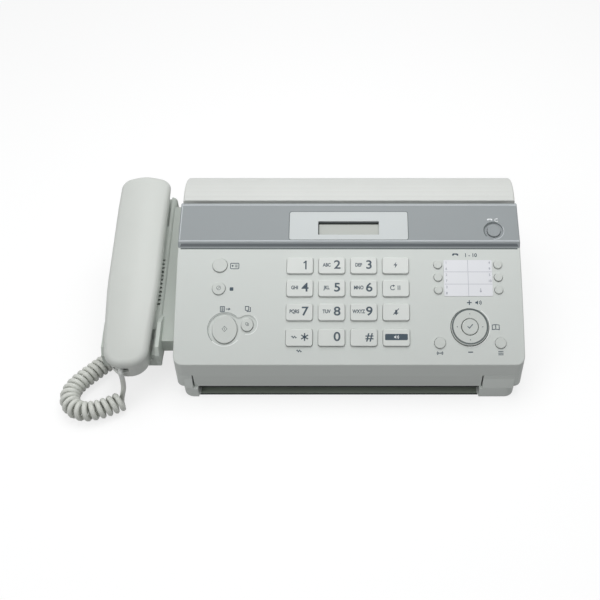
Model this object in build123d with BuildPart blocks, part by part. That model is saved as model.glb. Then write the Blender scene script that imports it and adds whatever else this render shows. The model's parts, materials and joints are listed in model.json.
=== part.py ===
from build123d import *
import os
from math import atan2, cos, degrees, pi, radians, sin, tan

os.makedirs("parts", exist_ok=True)

# Thermal fax machine with a corded handset on its left side, in millimetres.
# X runs to the right, Y to the back and Z up. Sizes are first written from the middle of the body,
# the front edge of the control panel and the table, and every piece is shifted once when it is written.

# body
body_width = 291.0
wall = 2.5
skin = 2.4
seam_gap = 0.3
rear_depth = 87.18
front_corner_radius = 7.0

# control panel: a gently arched top, then a raised band
panel_front_z = 39.0
panel_slope_front = 35.4
panel_slope_rear = 27.4
panel_arc_length = 100.6
band_rise = (3.3, 3.9)
band_slope = 19.4
band_length = 38.3
band_thick = 2.4
seam_front_z = 25.6
seam_slope = 27.0

# document slot at the front, off the middle because the gears stand at the right
lip_left = -130.4
lip_right = 111.4
lip_bottom_z = 11.0
lip_thick = 2.2
slot_side_inset = 2.8
plinth_inset = 5.0
plinth_height = 12.0
plinth_corner_radius = 9.0
floor_gap = 0.6
tray_lip = 2.0
post_rise = 9.0
lip_end_gap = 1.2
bottom_thick = 2.2

# rear
document_gap = 6.6
hump_radius = 36.5
hump_drop = 2.1
hump_slope_front = 25.0
hump_slope_rear = -37.3
casing_depth = 41.18
paper_slot = 5.0
cover_shoulder_inset = 14.0
cover_shoulder_rise = 36.0
cover_shoulder_radius = 16.0
side_top_drop = 19.2
cover_low_z = 32.6
cover_axis_inset = 3.6
cover_axis_drop = 4.0
cover_barrel_radius = 3.2
cover_pin_radius = 1.6

# panel hinge
panel_axis_ahead = 10.32
panel_axis_drop = 6.09
panel_ear_radius = 3.8
panel_pin_radius = 2.2
ear_inner = 137.6
ear_outer = 141.6
pin_clearance = 0.1

# buttons
button_travel = 0.8
button_gap = 0.3
flange_thick = 1.1
flange_margin = 1.1
foot_radius = 1.6
press_room = 0.15
key_size = (22.2, 14.4)
key_corner = 2.2
key_proud = 1.7
key_columns = (-41.3, -14.5, 12.3, 39.2)
key_rows = (84.4, 64.5, 44.0, 22.6)
round_proud = 1.3

# board under the panel
board_depth = 9.4
board_thick = 1.6
switch_radius = 2.6

# handset cradle at the left: a wedge whose top rises to the back
cradle_origin = (24.4, 41.5)
cradle_slope = 15.4
cradle_left = -206.6
cradle_right = -158.2
cradle_bottom_z = 24.5
cradle_front_y = 12.0
cradle_back_y = 171.5
bridge_front_y = 24.4
bridge_back_y = 157.0
bridge_drop = 12.2
ear_left = -205.0
ear_right = -157.6
ear_thick = 3.2
ear_height = 9.0

# handset, in the cradle's own slope: u runs along it, w stands on it
handset_x = -183.2
handset_lean = 0.6
handset_half_width = 22.3
handset_half_width_front = 17.4
handset_lower_half = 17.8
handset_parting = 10.6
handset_wall = 2.0
cup_drop = 6.0
grip_rise = 4.0
rest_gap = 0.25

# rollers and paper
roller_length = 222.0
document_middle = -8.6
feed_roller_radius = 8.5
exit_roller_radius = 8.5
shaft_radius = 3.0
running_gap = 0.1
paper_gap = 3.4
platen_radius = 8.0
platen_axis_ahead = 10.0
platen_axis_drop = 4.1
paper_roll_radius = 25.0
paper_roll_core = 6.5
paper_roll_inset = 34.5
paper_roll_z = 47.5
paper_width = 216.0

# cord
cord_coil_diameter = 17.0
cord_wire_diameter = 4.2
cord_coil_z = 9.1

half_width = body_width / 2
arc_radius = panel_arc_length / radians(panel_slope_front - panel_slope_rear)
parts_made = {}


def on_arc(s, depth=0.0):
    """The (y, z) point at arc length s behind the panel's front edge, a depth under its surface."""
    slope = radians(panel_slope_front) - s / arc_radius
    y = arc_radius * (sin(radians(panel_slope_front)) - sin(slope))
    z = panel_front_z + arc_radius * (cos(slope) - cos(radians(panel_slope_front)))
    return (y + depth * sin(slope), z - depth * cos(slope))


def on_band(s, depth=0.0):
    """The (y, z) point s behind the band's front edge, a depth under its surface."""
    start = on_arc(panel_arc_length)
    slope = radians(band_slope)
    y = start[0] + band_rise[0] + s * cos(slope) + depth * sin(slope)
    z = start[1] + band_rise[1] + s * sin(slope) - depth * cos(slope)
    return (y, z)


def tangent_plane(y, z, slope_degrees, x=0.0):
    """A plane through a point, lying on a surface that climbs to the back by a slope."""
    slope = radians(slope_degrees)
    return Plane(origin=(x, y, z), x_dir=(1, 0, 0), z_dir=(0, -sin(slope), cos(slope)))


def panel_plane(x, s, depth=0.0):
    y, z = on_arc(s, depth)
    return tangent_plane(y, z, panel_slope_front - degrees(s / arc_radius), x)


def band_plane(x, s, depth=0.0):
    y, z = on_band(s, depth)
    return tangent_plane(y, z, band_slope, x)


def seam_z(y, gap=0.0):
    return seam_front_z + y * tan(radians(seam_slope)) - gap


def prism(points, x_from, x_to, mode=Mode.ADD):
    """Extrudes a closed side outline of (y, z) points between two places across the body."""
    with BuildSketch(Plane.YZ.offset(x_from)) as side_shape:
        with BuildLine():
            Polyline(*points, close=True)
        make_face()
    extrude(side_shape.sketch, amount=x_to - x_from, mode=mode)


def block(x_range, y_range, z_range, mode=Mode.ADD):
    """A box between two corners."""
    size = (x_range[1] - x_range[0], y_range[1] - y_range[0], z_range[1] - z_range[0])
    middle = (sum(x_range) / 2, sum(y_range) / 2, sum(z_range) / 2)
    with Locations(middle):
        Box(*size, mode=mode)


def rod(y, z, radius, x_from, x_to, mode=Mode.ADD):
    """A round bar across the body."""
    with BuildSketch(Plane.YZ.offset(x_from)) as section:
        with Locations((y, z)):
            Circle(radius)
    extrude(section.sketch, amount=x_to - x_from, mode=mode)


def keep(name, builder):
    """Remembers a finished piece under its node name."""
    parts_made[name] = builder.part


# ---------------------------------------------------------------- side outlines

def arc_points(depth, s_from, s_to, count=9):
    """Points down the arched panel at a depth under its surface."""
    return [on_arc(s_from + (s_to - s_from) * i / (count - 1), depth) for i in range(count)]


hump_front_y = on_band(band_length)[0] + document_gap
hump_front_z = on_band(band_length)[1] - hump_drop
rear_casing_back = hump_front_y + casing_depth
body_back = hump_front_y + rear_depth
side_top_z = hump_front_z - side_top_drop
cover_shoulder = (body_back - cover_shoulder_inset, cover_low_z + cover_shoulder_rise)
cover_axis = (body_back - cover_axis_inset, cover_low_z - cover_axis_drop)
panel_axis = (hump_front_y - panel_axis_ahead, hump_front_z - panel_axis_drop)
platen_axis = (rear_casing_back - platen_axis_ahead, side_top_z - platen_axis_drop)
paper_roll_axis = (body_back - paper_roll_inset, paper_roll_z)
hump_centre = (
    hump_front_y + hump_radius * sin(radians(hump_slope_front)),
    hump_front_z - hump_radius * cos(radians(hump_slope_front)),
)


def on_hump(slope_degrees, depth=0.0):
    slope = radians(slope_degrees)
    radius = hump_radius - depth
    return (hump_centre[0] - radius * sin(slope), hump_centre[1] + radius * cos(slope))


def hump_points(depth, count=9):
    step = (hump_slope_rear - hump_slope_front) / (count - 1)
    return [on_hump(hump_slope_front + step * i, depth) for i in range(count)]


def rear_line(y, depth=0.0):
    """Height of the straight fall behind the hump."""
    start = on_hump(hump_slope_rear)
    slope = atan2(cover_shoulder[1] - start[1], cover_shoulder[0] - start[0])
    return start[1] + (y - start[0]) * tan(slope) - depth / cos(slope)


exit_y = rear_casing_back + paper_slot
plinth_half = half_width - plinth_inset
lower_back_z = cover_axis[1] - cover_barrel_radius - seam_gap
slot_left = lip_left + slot_side_inset
slot_right = lip_right - 1.2
cover_split_y = exit_y


# ---------------------------------------------------------------- lower cabinet

def make_lower_cabinet():
    band_back = on_band(band_length)[0]
    outer = [
        (0, plinth_height),
        (0, seam_z(0, seam_gap)),
        (band_back, seam_z(band_back, seam_gap)),
        (band_back + 1, side_top_z),
        (cover_split_y - seam_gap, side_top_z),
        (body_back, cover_low_z - seam_gap),
        (body_back, plinth_height),
    ]
    inner = [
        (wall, bottom_thick + floor_gap),
        (wall, 150),
        (body_back - wall, 150),
        (body_back - wall, bottom_thick + floor_gap),
    ]
    with BuildPart() as lower_cabinet:
        prism(outer, -half_width, half_width)
        corners = lower_cabinet.edges().filter_by(Axis.Z).group_by(Axis.Y)[0]
        fillet(corners, front_corner_radius)
        with BuildSketch(Plane.XY.offset(floor_gap)):
            with Locations((0, (body_back - plinth_inset - tray_lip) / 2)):
                RectangleRounded(2 * plinth_half, body_back - plinth_inset + tray_lip, plinth_corner_radius)
        extrude(amount=plinth_height - floor_gap)
        # the front posts lean out to the plinth, and the tray between them ends behind them
        lean = [(-tray_lip, plinth_height), (0, plinth_height + post_rise), (1, plinth_height)]
        prism(lean, -half_width + front_corner_radius, lip_left - seam_gap)
        prism(lean, lip_right + seam_gap, half_width - front_corner_radius)
        block((slot_left, slot_right), (-20, 0), (0, plinth_height), Mode.SUBTRACT)
        # hollow, with a shelf where the plinth steps in
        with BuildSketch(Plane.XY.offset(bottom_thick + floor_gap)):
            inner_depth = body_back - plinth_inset - 2 * wall
            with Locations((0, wall + inner_depth / 2)):
                RectangleRounded(2 * (plinth_half - wall), inner_depth, plinth_corner_radius - wall)
        extrude(amount=plinth_height, mode=Mode.SUBTRACT)
        with BuildSketch(Plane.XY.offset(plinth_height + wall)):
            inner_depth = body_back - 2 * wall
            with Locations((0, wall + inner_depth / 2)):
                RectangleRounded(2 * (half_width - wall), inner_depth, front_corner_radius - wall)
        extrude(amount=150, mode=Mode.SUBTRACT)
        # the rear wall stops below the cover's hinge
        block((-half_width + wall, half_width - wall), (body_back - 2 * wall, body_back + 1),
              (lower_back_z, 120), Mode.SUBTRACT)
        # the document slot and the place of the panel's lip
        block((slot_left, slot_right), (-5, 2 * wall + 4), (floor_gap + bottom_thick, seam_front_z + 5),
              Mode.SUBTRACT)
        block((lip_left - lip_end_gap, lip_right + lip_end_gap), (-5, 2 * wall),
              (lip_bottom_z - seam_gap, seam_front_z + 5), Mode.SUBTRACT)
        # trough ribs that carry the paper roll
        for x in (-100, 4, 96):
            rib = [
                (paper_roll_axis[0] - 22, floor_gap + 1),
                (paper_roll_axis[0] - 22, 34),
                (paper_roll_axis[0] + 22, 34),
                (paper_roll_axis[0] + 22, floor_gap + 1),
            ]
            prism(rib, x - 1, x + 1)
            rod(*paper_roll_axis, paper_roll_radius + seam_gap, x - 2, x + 2, Mode.SUBTRACT)
        # barrels of the rear cover's hinge, on brackets that rise from the rear wall
        for x in (-118, 118):
            bracket = [
                (cover_axis[0] - cover_barrel_radius, 14),
                (cover_axis[0] - cover_barrel_radius, cover_axis[1]),
                (cover_axis[0] + cover_barrel_radius, cover_axis[1]),
                (cover_axis[0] + cover_barrel_radius, 14),
            ]
            prism(bracket, x - 5, x + 5)
            rod(cover_axis[0], cover_axis[1], cover_barrel_radius, x - 5, x + 5)
            rod(cover_axis[0], cover_axis[1], cover_pin_radius + pin_clearance, x - 6, x + 6, Mode.SUBTRACT)
        # sockets in the rear wall: mains inlet at the left, two line jacks at its right
        block((mains_x - mains_size[0] / 2, mains_x + mains_size[0] / 2), (body_back - 4 * wall, body_back + 1),
              (mains_z - mains_size[1] / 2, mains_z + mains_size[1] / 2), Mode.SUBTRACT)
        for x in jack_columns:
            jack_half = [side / 2 + seam_gap for side in jack_size]
            block((x - jack_half[0], x + jack_half[0]), (body_back - 2 * wall - 6, body_back + 1),
                  (jack_z - jack_half[1], jack_z + jack_half[1]), Mode.SUBTRACT)
        # vents low in the right side
        for i in range(9):
            y = body_back - 99 + 8 * i
            block((half_width - 2 * wall, half_width + 1), (y, y + 3), (24, 52), Mode.SUBTRACT)
        # entry of the handset cord at the left
        rod(cord_entry[1], cord_entry[2], cord_coil_diameter / 2 + 0.6, cord_entry[0], -half_width + wall)
        # posts under the main board
        for x, y in board_posts:
            with BuildSketch(Plane.XY.offset(floor_gap + 1)):
                with Locations((x, y)):
                    Circle(3)
            extrude(amount=main_board_z - floor_gap - 1)
    keep("lower_cabinet", lower_cabinet)


mains_x = -112.0
mains_z = 18.6
mains_size = (21.0, 11.6)
jack_columns = (-80.0, -62.0)
jack_z = 18.4
jack_size = (13.0, 9.4)
main_board_z = 7.5
board_posts = ((-88, 66), (-12, 66), (-88, 150), (-12, 150))
cord_entry = (-half_width - 1.5, 66.0, 15.8)


def make_feet():
    with BuildPart() as feet:
        for x in (-122, 122):
            for y in (18, body_back - 21):
                with BuildSketch(Plane.XY):
                    with Locations((x, y)):
                        Circle(8)
                extrude(amount=floor_gap)
    keep("feet", feet)


# ---------------------------------------------------------------- panel unit

def make_panel_housing():
    band_back = on_band(band_length)[0]
    outline = [(0, seam_front_z), (0, panel_front_z)]
    outline += arc_points(0, 0, panel_arc_length)[1:]
    outline += [on_band(0, band_thick), on_band(band_length, band_thick)]
    outline[-1] = (band_back, outline[-1][1] - (outline[-1][0] - band_back) * tan(radians(band_slope)))
    outline += [(band_back, seam_z(band_back))]
    void_front = lip_thick + 0.6
    inner = [(void_front, seam_front_z - 5), (void_front, on_arc(void_front, skin)[1])]
    inner += arc_points(skin, 2 * void_front, panel_arc_length)
    inner += [on_band(1, band_thick + skin - 0.4), on_band(band_length - 2.6, band_thick + skin - 0.4)]
    inner_end = inner[-1]
    inner += [(inner_end[0], seam_z(band_back) - 10)]
    with BuildPart() as panel_housing:
        prism(outline, -half_width, half_width)
        corners = panel_housing.edges().filter_by(Axis.Z).group_by(Axis.Y)[0]
        fillet(corners, front_corner_radius)
        top = panel_housing.faces().filter_by(lambda f: f.normal_at().Z > 0.6)
        rims = top.edges().filter_by(lambda e: abs(abs(e.center().X) - half_width) < 0.05)
        fillet(rims, 1.2)
        prism(inner, -half_width + wall, half_width - wall, Mode.SUBTRACT)
        # the rear wall only stands behind the document path, so the hinge ears pass beside it
        for side in (-1, 1):
            x_pair = sorted((side * (half_width - wall), side * 120.0))
            block(x_pair, (band_back - 3, band_back + 2), (60, panel_axis[1] + 1), Mode.SUBTRACT)
            x_pair = sorted((side * (ear_inner - 0.8), side * (ear_outer + 0.8)))
            block(x_pair, (panel_axis[0] - panel_ear_radius - 1.2, band_back + 2), (60, 120), Mode.SUBTRACT)
        # front lip down to the document slot
        lip = [
            (0, seam_front_z + 4),
            (0, seam_front_z - 0.8),
            (0.9, lip_bottom_z),
            (0.9 + lip_thick, lip_bottom_z),
            (lip_thick + 0.6, seam_front_z + 4),
        ]
        prism(lip, lip_left, lip_right)
        # pocket notches and blind holes for the hinge pins
        for side in (-1, 1):
            x_pair = sorted((side * (half_width - wall - 1), side * (half_width - 0.9)))
            rod(panel_axis[0], panel_axis[1], panel_pin_radius + pin_clearance, *x_pair, Mode.SUBTRACT)
        cut_panel_holes()
        # posts that carry the board
        for x in (-126, -62, 62, 112):
            for s in (12.0, 92.0):
                rise = arch_height(s)
                with BuildSketch(panel_plane(x, s, skin / 2)):
                    Circle(2.2)
                extrude(amount=-(board_depth + rise - skin / 2 - 0.25))
        # bosses that the steering ring's gimbal turns in
        for side in (-1, 1):
            with BuildSketch(panel_plane(ring_place[0] + side * gimbal_bearing, ring_place[1], skin / 2)):
                Rectangle(2.4, 5)
            extrude(amount=-(ring_pivot_depth + 2 - skin / 2))
        gimbal = panel_plane(*ring_place, ring_pivot_depth)
        across = Plane(origin=gimbal.origin, x_dir=gimbal.y_dir, z_dir=gimbal.x_dir)
        with BuildSketch(across.offset(-gimbal_bearing - 1.4)):
            Circle(trunnion_radius + running_gap)
        extrude(amount=2 * gimbal_bearing + 2.8, mode=Mode.SUBTRACT)
    keep("panel_housing", panel_housing)


def arch_height(s):
    """How far the arched panel stands over the straight line between its edges."""
    front = on_arc(0)
    rear = on_arc(panel_arc_length)
    slope = atan2(rear[1] - front[1], rear[0] - front[0])
    y, z = on_arc(s)
    return (z - front[1]) * cos(slope) - (y - front[0]) * sin(slope)


def chord_plane(x, u, depth):
    """A plane along the straight line between the panel's front and rear edges."""
    front = on_arc(0)
    rear = on_arc(panel_arc_length)
    slope = atan2(rear[1] - front[1], rear[0] - front[0])
    y = front[0] + u * cos(slope) + depth * sin(slope)
    z = front[1] + u * sin(slope) - depth * cos(slope)
    return tangent_plane(y, z, degrees(slope), x)


key_names = (
    ("key_1", "key_2", "key_3", "key_flash"),
    ("key_4", "key_5", "key_6", "key_redial"),
    ("key_7", "key_8", "key_9", "key_mute"),
    ("key_star", "key_0", "key_hash", "key_monitor"),
)
one_touch_places = [(x, s) for x in (74.9, 125.6) for s in (85.4, 74.3, 63.3)]
one_touch_diameter = 7.0
round_buttons = {
    "caller_button": (-108.9, 84.9, 12.3, 12.3),
    "stop_button": (-109.2, 64.5, 10.9, 10.9),
    "broadcast_button": (75.3, 18.2, 9.2, 9.2),
    "menu_button": (125.5, 18.1, 9.0, 9.0),
    "start_button": (-103.2, 29.6, 20.6, 23.6),
    "copy_button": (-84.6, 33.6, 10.0, 11.2),
}
recessed = ("start_button", "copy_button")
recess_depth = 1.1
recess_start = 13.8
recess_copy = 8.2
recess_waist = 5.0
ring_place = (100.3, 31.5)
ring_outer = 31.1
ring_inner = 14.4
set_diameter = 13.4
ring_tilt = 2.0
auto_place = (123.8, 10.9)
auto_diameter = 11.2
auto_dish = 16.4
card_place = (100.2, 73.8)
card_size = (40.8, 31.7)
card_thick = 0.8
lcd_plate_place = (-0.3, 15.9)
lcd_plate_size = (101.1, 27.4)
lcd_plate_thick = 0.9
lcd_window_place = (-0.4, 13.7)
lcd_window_size = (52.0, 13.3)


def cut_panel_holes():
    through = skin + 4
    for row, names in enumerate(key_names):
        for column in range(len(names)):
            with BuildSketch(panel_plane(key_columns[column], key_rows[row], -3)) as hole:
                hole_size = [side + 2 * button_gap for side in key_size]
                RectangleRounded(*hole_size, key_corner + button_gap)
            extrude(hole.sketch, amount=-through - 3, mode=Mode.SUBTRACT)
    for x, s in one_touch_places:
        with BuildSketch(panel_plane(x, s, -3)) as hole:
            Circle(one_touch_diameter / 2 + button_gap)
        extrude(hole.sketch, amount=-through - 3, mode=Mode.SUBTRACT)
    # one dish around start and copy, its two circles joined by soft waists
    start = round_buttons["start_button"]
    copy = round_buttons["copy_button"]
    with BuildSketch(panel_plane(start[0], start[1], -3)) as hole:
        Circle(recess_start)
        with Locations((copy[0] - start[0], copy[1] - start[1])):
            Circle(recess_copy)
        fillet(hole.vertices(), recess_waist)
    extrude(hole.sketch, amount=-3 - recess_depth, mode=Mode.SUBTRACT)
    for x, s, width, height in round_buttons.values():
        with BuildSketch(panel_plane(x, s, -3)) as hole:
            Ellipse(width / 2 + button_gap, height / 2 + button_gap)
        extrude(hole.sketch, amount=-through - 3, mode=Mode.SUBTRACT)
    with BuildSketch(panel_plane(*ring_place, -3)) as hole:
        Circle(ring_outer / 2 + 0.6)
    extrude(hole.sketch, amount=-through - 3, mode=Mode.SUBTRACT)
    # seat of the directory card
    with BuildSketch(panel_plane(*card_place, -3)) as hole:
        RectangleRounded(card_size[0] + 0.2, card_size[1] + 0.2, 0.8)
    extrude(hole.sketch, amount=-3 - card_thick + 0.1, mode=Mode.SUBTRACT)
    # display and answer button openings under the band
    with BuildSketch(band_plane(*lcd_window_place, -1)) as hole:
        Rectangle(lcd_window_size[0] + 14, lcd_window_size[1] + 8)
    extrude(hole.sketch, amount=-12, mode=Mode.SUBTRACT)
    with BuildSketch(band_plane(*auto_place, -1)) as hole:
        Circle(auto_diameter / 2 + button_gap + 0.2)
    extrude(hole.sketch, amount=-12, mode=Mode.SUBTRACT)


def make_fascia_band():
    front = on_arc(panel_arc_length)
    band_back = on_band(band_length)
    under_back = on_band(band_length, band_thick)
    under_back = (band_back[0], under_back[1] - (under_back[0] - band_back[0]) * tan(radians(band_slope)))
    outline = [front, on_band(0), band_back, under_back, on_band(0, band_thick)]
    with BuildPart() as fascia_band:
        prism(outline, -half_width, half_width)
        top = fascia_band.faces().filter_by(lambda f: f.normal_at().Z > 0.6)
        rims = top.edges().filter_by(lambda e: abs(abs(e.center().X) - half_width) < 0.05)
        fillet(rims, 1.2)
        with BuildSketch(band_plane(*lcd_plate_place, -1)):
            RectangleRounded(lcd_plate_size[0] + 0.2, lcd_plate_size[1] + 0.2, 2)
        extrude(amount=-1 - lcd_plate_thick + 0.2, mode=Mode.SUBTRACT)
        with BuildSketch(band_plane(*lcd_window_place, -1)):
            Rectangle(*lcd_window_size)
        extrude(amount=-12, mode=Mode.SUBTRACT)
        with BuildSketch(band_plane(*auto_place, -1)):
            Circle(auto_dish / 2)
        extrude(amount=-2.2, mode=Mode.SUBTRACT)
        with BuildSketch(band_plane(*auto_place, -1)):
            Circle(auto_diameter / 2 + button_gap)
        extrude(amount=-12, mode=Mode.SUBTRACT)
    keep("fascia_band", fascia_band)


def make_display():
    with BuildPart() as lcd_plate:
        with BuildSketch(band_plane(*lcd_plate_place, lcd_plate_thick - 0.2)):
            RectangleRounded(*lcd_plate_size, 1.9)
        extrude(amount=lcd_plate_thick)
        with BuildSketch(band_plane(*lcd_window_place, -2)):
            RectangleRounded(*lcd_window_size, 0.6)
        extrude(amount=-4, mode=Mode.SUBTRACT)
    keep("lcd_plate", lcd_plate)
    module_depth = band_thick
    with BuildPart() as lcd_module:
        with BuildSketch(band_plane(*lcd_window_place, module_depth)):
            Rectangle(lcd_window_size[0] + 12, lcd_window_size[1] + 6)
        extrude(amount=-4)
    keep("lcd_module", lcd_module)


def make_card():
    with BuildPart() as directory_card:
        with BuildSketch(panel_plane(*card_place, card_thick - 0.1)):
            RectangleRounded(*card_size, 0.7)
        extrude(amount=card_thick)
    keep("directory_card", directory_card)


def button_body(plane_at, shape, proud, flange, foot_bottom, skin_depth):
    """A button: its cap, the flange that holds it under the skin, and the foot that meets the switch."""
    with BuildSketch(plane_at(skin_depth + button_gap)) as section:
        shape(0)
    extrude(section.sketch, amount=skin_depth + button_gap + proud)
    with BuildSketch(plane_at(skin_depth + button_gap + flange_thick)) as section:
        shape(flange)
    extrude(section.sketch, amount=flange_thick)
    with BuildSketch(plane_at(foot_bottom)) as section:
        Circle(foot_radius)
    extrude(section.sketch, amount=foot_bottom - skin_depth - button_gap - flange_thick / 2)


foot_depth = skin + button_gap + flange_thick + 1.8


def cap_edges(builder, plane):
    """The rim of a cap: the edges of the face that lies furthest out."""
    top = builder.faces().sort_by(Axis(plane.origin, plane.z_dir))[-1]
    return top.edges()


def make_panel_buttons():
    for row, names in enumerate(key_names):
        for column, name in enumerate(names):
            x = key_columns[column]
            s = key_rows[row]

            def at(depth, x=x, s=s):
                return panel_plane(x, s, depth)

            with BuildPart() as key:
                button_body(
                    at,
                    lambda grow: RectangleRounded(key_size[0] + 2 * grow, key_size[1] + 2 * grow, key_corner),
                    key_proud, flange_margin, foot_depth, skin,
                )
                fillet(cap_edges(key, at(0)), 0.7)
            keep(name, key)
    for index, (x, s) in enumerate(one_touch_places):

        def at(depth, x=x, s=s):
            return panel_plane(x, s, depth)

        with BuildPart() as button:
            outline = lambda grow: Circle(one_touch_diameter / 2 + grow)
            button_body(at, outline, round_proud, 0.9, foot_depth, skin)
            fillet(cap_edges(button, at(0)), 0.6)
        keep(f"one_touch_{index + 1}", button)
    for name, (x, s, width, height) in round_buttons.items():

        def at(depth, x=x, s=s):
            return panel_plane(x, s, depth)

        proud = round_proud - recess_depth / 2 if name in recessed else round_proud
        with BuildPart() as button:
            button_body(
                at, lambda grow: Ellipse(width / 2 + grow, height / 2 + grow), proud, 0.9, foot_depth, skin
            )
            fillet(cap_edges(button, at(0)), 0.6)
        keep(name, button)


def make_auto_button():
    def at(depth):
        return band_plane(*auto_place, depth)

    with BuildPart() as auto_button:
        button_body(at, lambda grow: Circle(auto_diameter / 2 + grow), 0.3, 0.9, band_thick + skin + 2.9,
                    band_thick + skin - 0.2)
        fillet(cap_edges(auto_button, at(0)), 0.6)
    keep("auto_button", auto_button)


ring_pivot_depth = 5.6
gimbal_inner = 9.2
gimbal_outer = 11.2
trunnion_radius = 0.8
gimbal_bearing = 18.4


def make_navigation():
    def at(depth):
        return panel_plane(*ring_place, depth)

    # the SET button in the middle
    with BuildPart() as set_button:
        with BuildSketch(at(3.2)):
            Circle(set_diameter / 2)
        extrude(amount=3.2 + 1.9)
        with BuildSketch(at(foot_depth + 1)):
            Circle(2.5)
        extrude(amount=foot_depth + 1 - 2)
        fillet(cap_edges(set_button, at(0)), 0.6)
    keep("set_button", set_button)

    # the rocking ring: a ring cap, a neck and two trunnions up and down the panel
    with BuildPart() as nav_ring:
        with BuildSketch(at(1.6)):
            Circle(ring_outer / 2)
            Circle(ring_inner / 2, mode=Mode.SUBTRACT)
        extrude(amount=1.6 + 1.5)
        fillet(cap_edges(nav_ring, at(0)), 0.7)
        with BuildSketch(at(ring_pivot_depth + 1.1)):
            Circle(gimbal_inner - 0.5)
            Circle(ring_inner / 2, mode=Mode.SUBTRACT)
        extrude(amount=ring_pivot_depth + 1.1 - 1)
        pivot = at(ring_pivot_depth)
        upright = Plane(origin=pivot.origin, x_dir=pivot.x_dir, z_dir=pivot.y_dir)
        for side in (-1, 1):
            with BuildSketch(upright.offset(side * (gimbal_inner - 1.2))):
                Circle(trunnion_radius)
            extrude(amount=side * 2.2)
    keep("nav_ring", nav_ring)

    with BuildPart() as nav_gimbal:
        with BuildSketch(at(ring_pivot_depth + 1.2)):
            Circle(gimbal_outer)
            Circle(gimbal_inner, mode=Mode.SUBTRACT)
        extrude(amount=2.4)
        for side in (-1, 1):
            with BuildSketch(upright.offset(side * (gimbal_inner - 0.5))):
                Circle(trunnion_radius + running_gap)
            extrude(amount=side * 4, mode=Mode.SUBTRACT)
        across = Plane(origin=pivot.origin, x_dir=pivot.y_dir, z_dir=pivot.x_dir)
        for side in (-1, 1):
            with BuildSketch(across.offset(side * (gimbal_outer - 0.5))):
                Circle(trunnion_radius)
            extrude(amount=side * (gimbal_bearing - gimbal_outer + 1.2))
    keep("nav_gimbal", nav_gimbal)


board_end = panel_arc_length + 21.4
board_x = (-132.0, 134.0)


def make_panel_board():
    with BuildPart() as panel_board:
        with BuildSketch(chord_plane(0, 0, board_depth)):
            with Locations((sum(board_x) / 2, (board_end + 8) / 2)):
                Rectangle(board_x[1] - board_x[0], board_end - 8)
        extrude(amount=-board_thick)
        switch_top = foot_depth + button_travel + press_room
        places = [(key_columns[c], key_rows[r]) for r in range(4) for c in range(4)]
        places += one_touch_places
        places += [(x, s) for x, s, _, _ in round_buttons.values()]
        for x, s in places:
            with BuildSketch(panel_plane(x, s, switch_top)):
                Circle(switch_radius)
            extrude(amount=-(board_depth + arch_height(s) + board_thick / 2 - switch_top))
        with BuildSketch(panel_plane(*ring_place, foot_depth + 1 + button_travel + press_room)):
            Circle(switch_radius)
        extrude(amount=-(board_depth + arch_height(ring_place[1]) + board_thick / 2 - foot_depth - 2))
        auto_top = band_thick + skin + 2.9 + button_travel + press_room
        with BuildSketch(band_plane(*auto_place, auto_top)):
            Circle(switch_radius)
        extrude(amount=-2.6)
    keep("panel_board", panel_board)


guide_front_y = 12.0
guide_back_y = hump_front_y - 14.8
guide_top_rise = 0.8
guide_bottom_drop = 1.2
chassis_drop = guide_bottom_drop + paper_gap / cos(radians(seam_slope))
chassis_thick = 2.0


def make_inner_guide():
    outline = [
        (guide_front_y, seam_z(guide_front_y, guide_bottom_drop)),
        (guide_back_y, seam_z(guide_back_y, guide_bottom_drop)),
        (guide_back_y, seam_z(guide_back_y, -guide_top_rise)),
        (guide_front_y, seam_z(guide_front_y, -guide_top_rise)),
    ]
    with BuildPart() as inner_guide:
        prism(outline, -half_width + wall + 0.2, half_width - wall - 0.2)
        for x in range(-112, 101, 20):
            rib = [
                (guide_front_y + 2, seam_z(guide_front_y + 2, guide_bottom_drop + 0.8)),
                (guide_back_y - 16, seam_z(guide_back_y - 16, guide_bottom_drop + 0.8)),
                (guide_back_y - 16, seam_z(guide_back_y - 16, 0)),
                (guide_front_y + 2, seam_z(guide_front_y + 2, 0)),
            ]
            prism(rib, x - 0.6, x + 0.6)
    keep("inner_guide", inner_guide)


def path_plane(y, depth=0.0, x=0.0):
    """A plane on the document chassis's running surface."""
    slope = radians(seam_slope)
    z = seam_z(y, chassis_drop)
    return tangent_plane(y + depth * sin(slope), z - depth * cos(slope), seam_slope, x)


def roller_axis(y, radius, proud):
    place = path_plane(y, radius - proud).origin
    return (place.Y, place.Z)


roller_proud = 1.1
feed_axis = roller_axis(hump_front_y - 27.8, feed_roller_radius, roller_proud)
exit_axis = roller_axis(36.0, exit_roller_radius, roller_proud)
sensor_y = 72.0
sensor_width = 15.0
sensor_depth = 10.0
chassis_left = slot_left + 0.6
chassis_right = slot_right - 0.6
chassis_wall = 2.4
gear_x = (slot_right + 4.0, slot_right + 10.0)
gear_teeth = 24
gear_radius = 9.0


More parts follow.
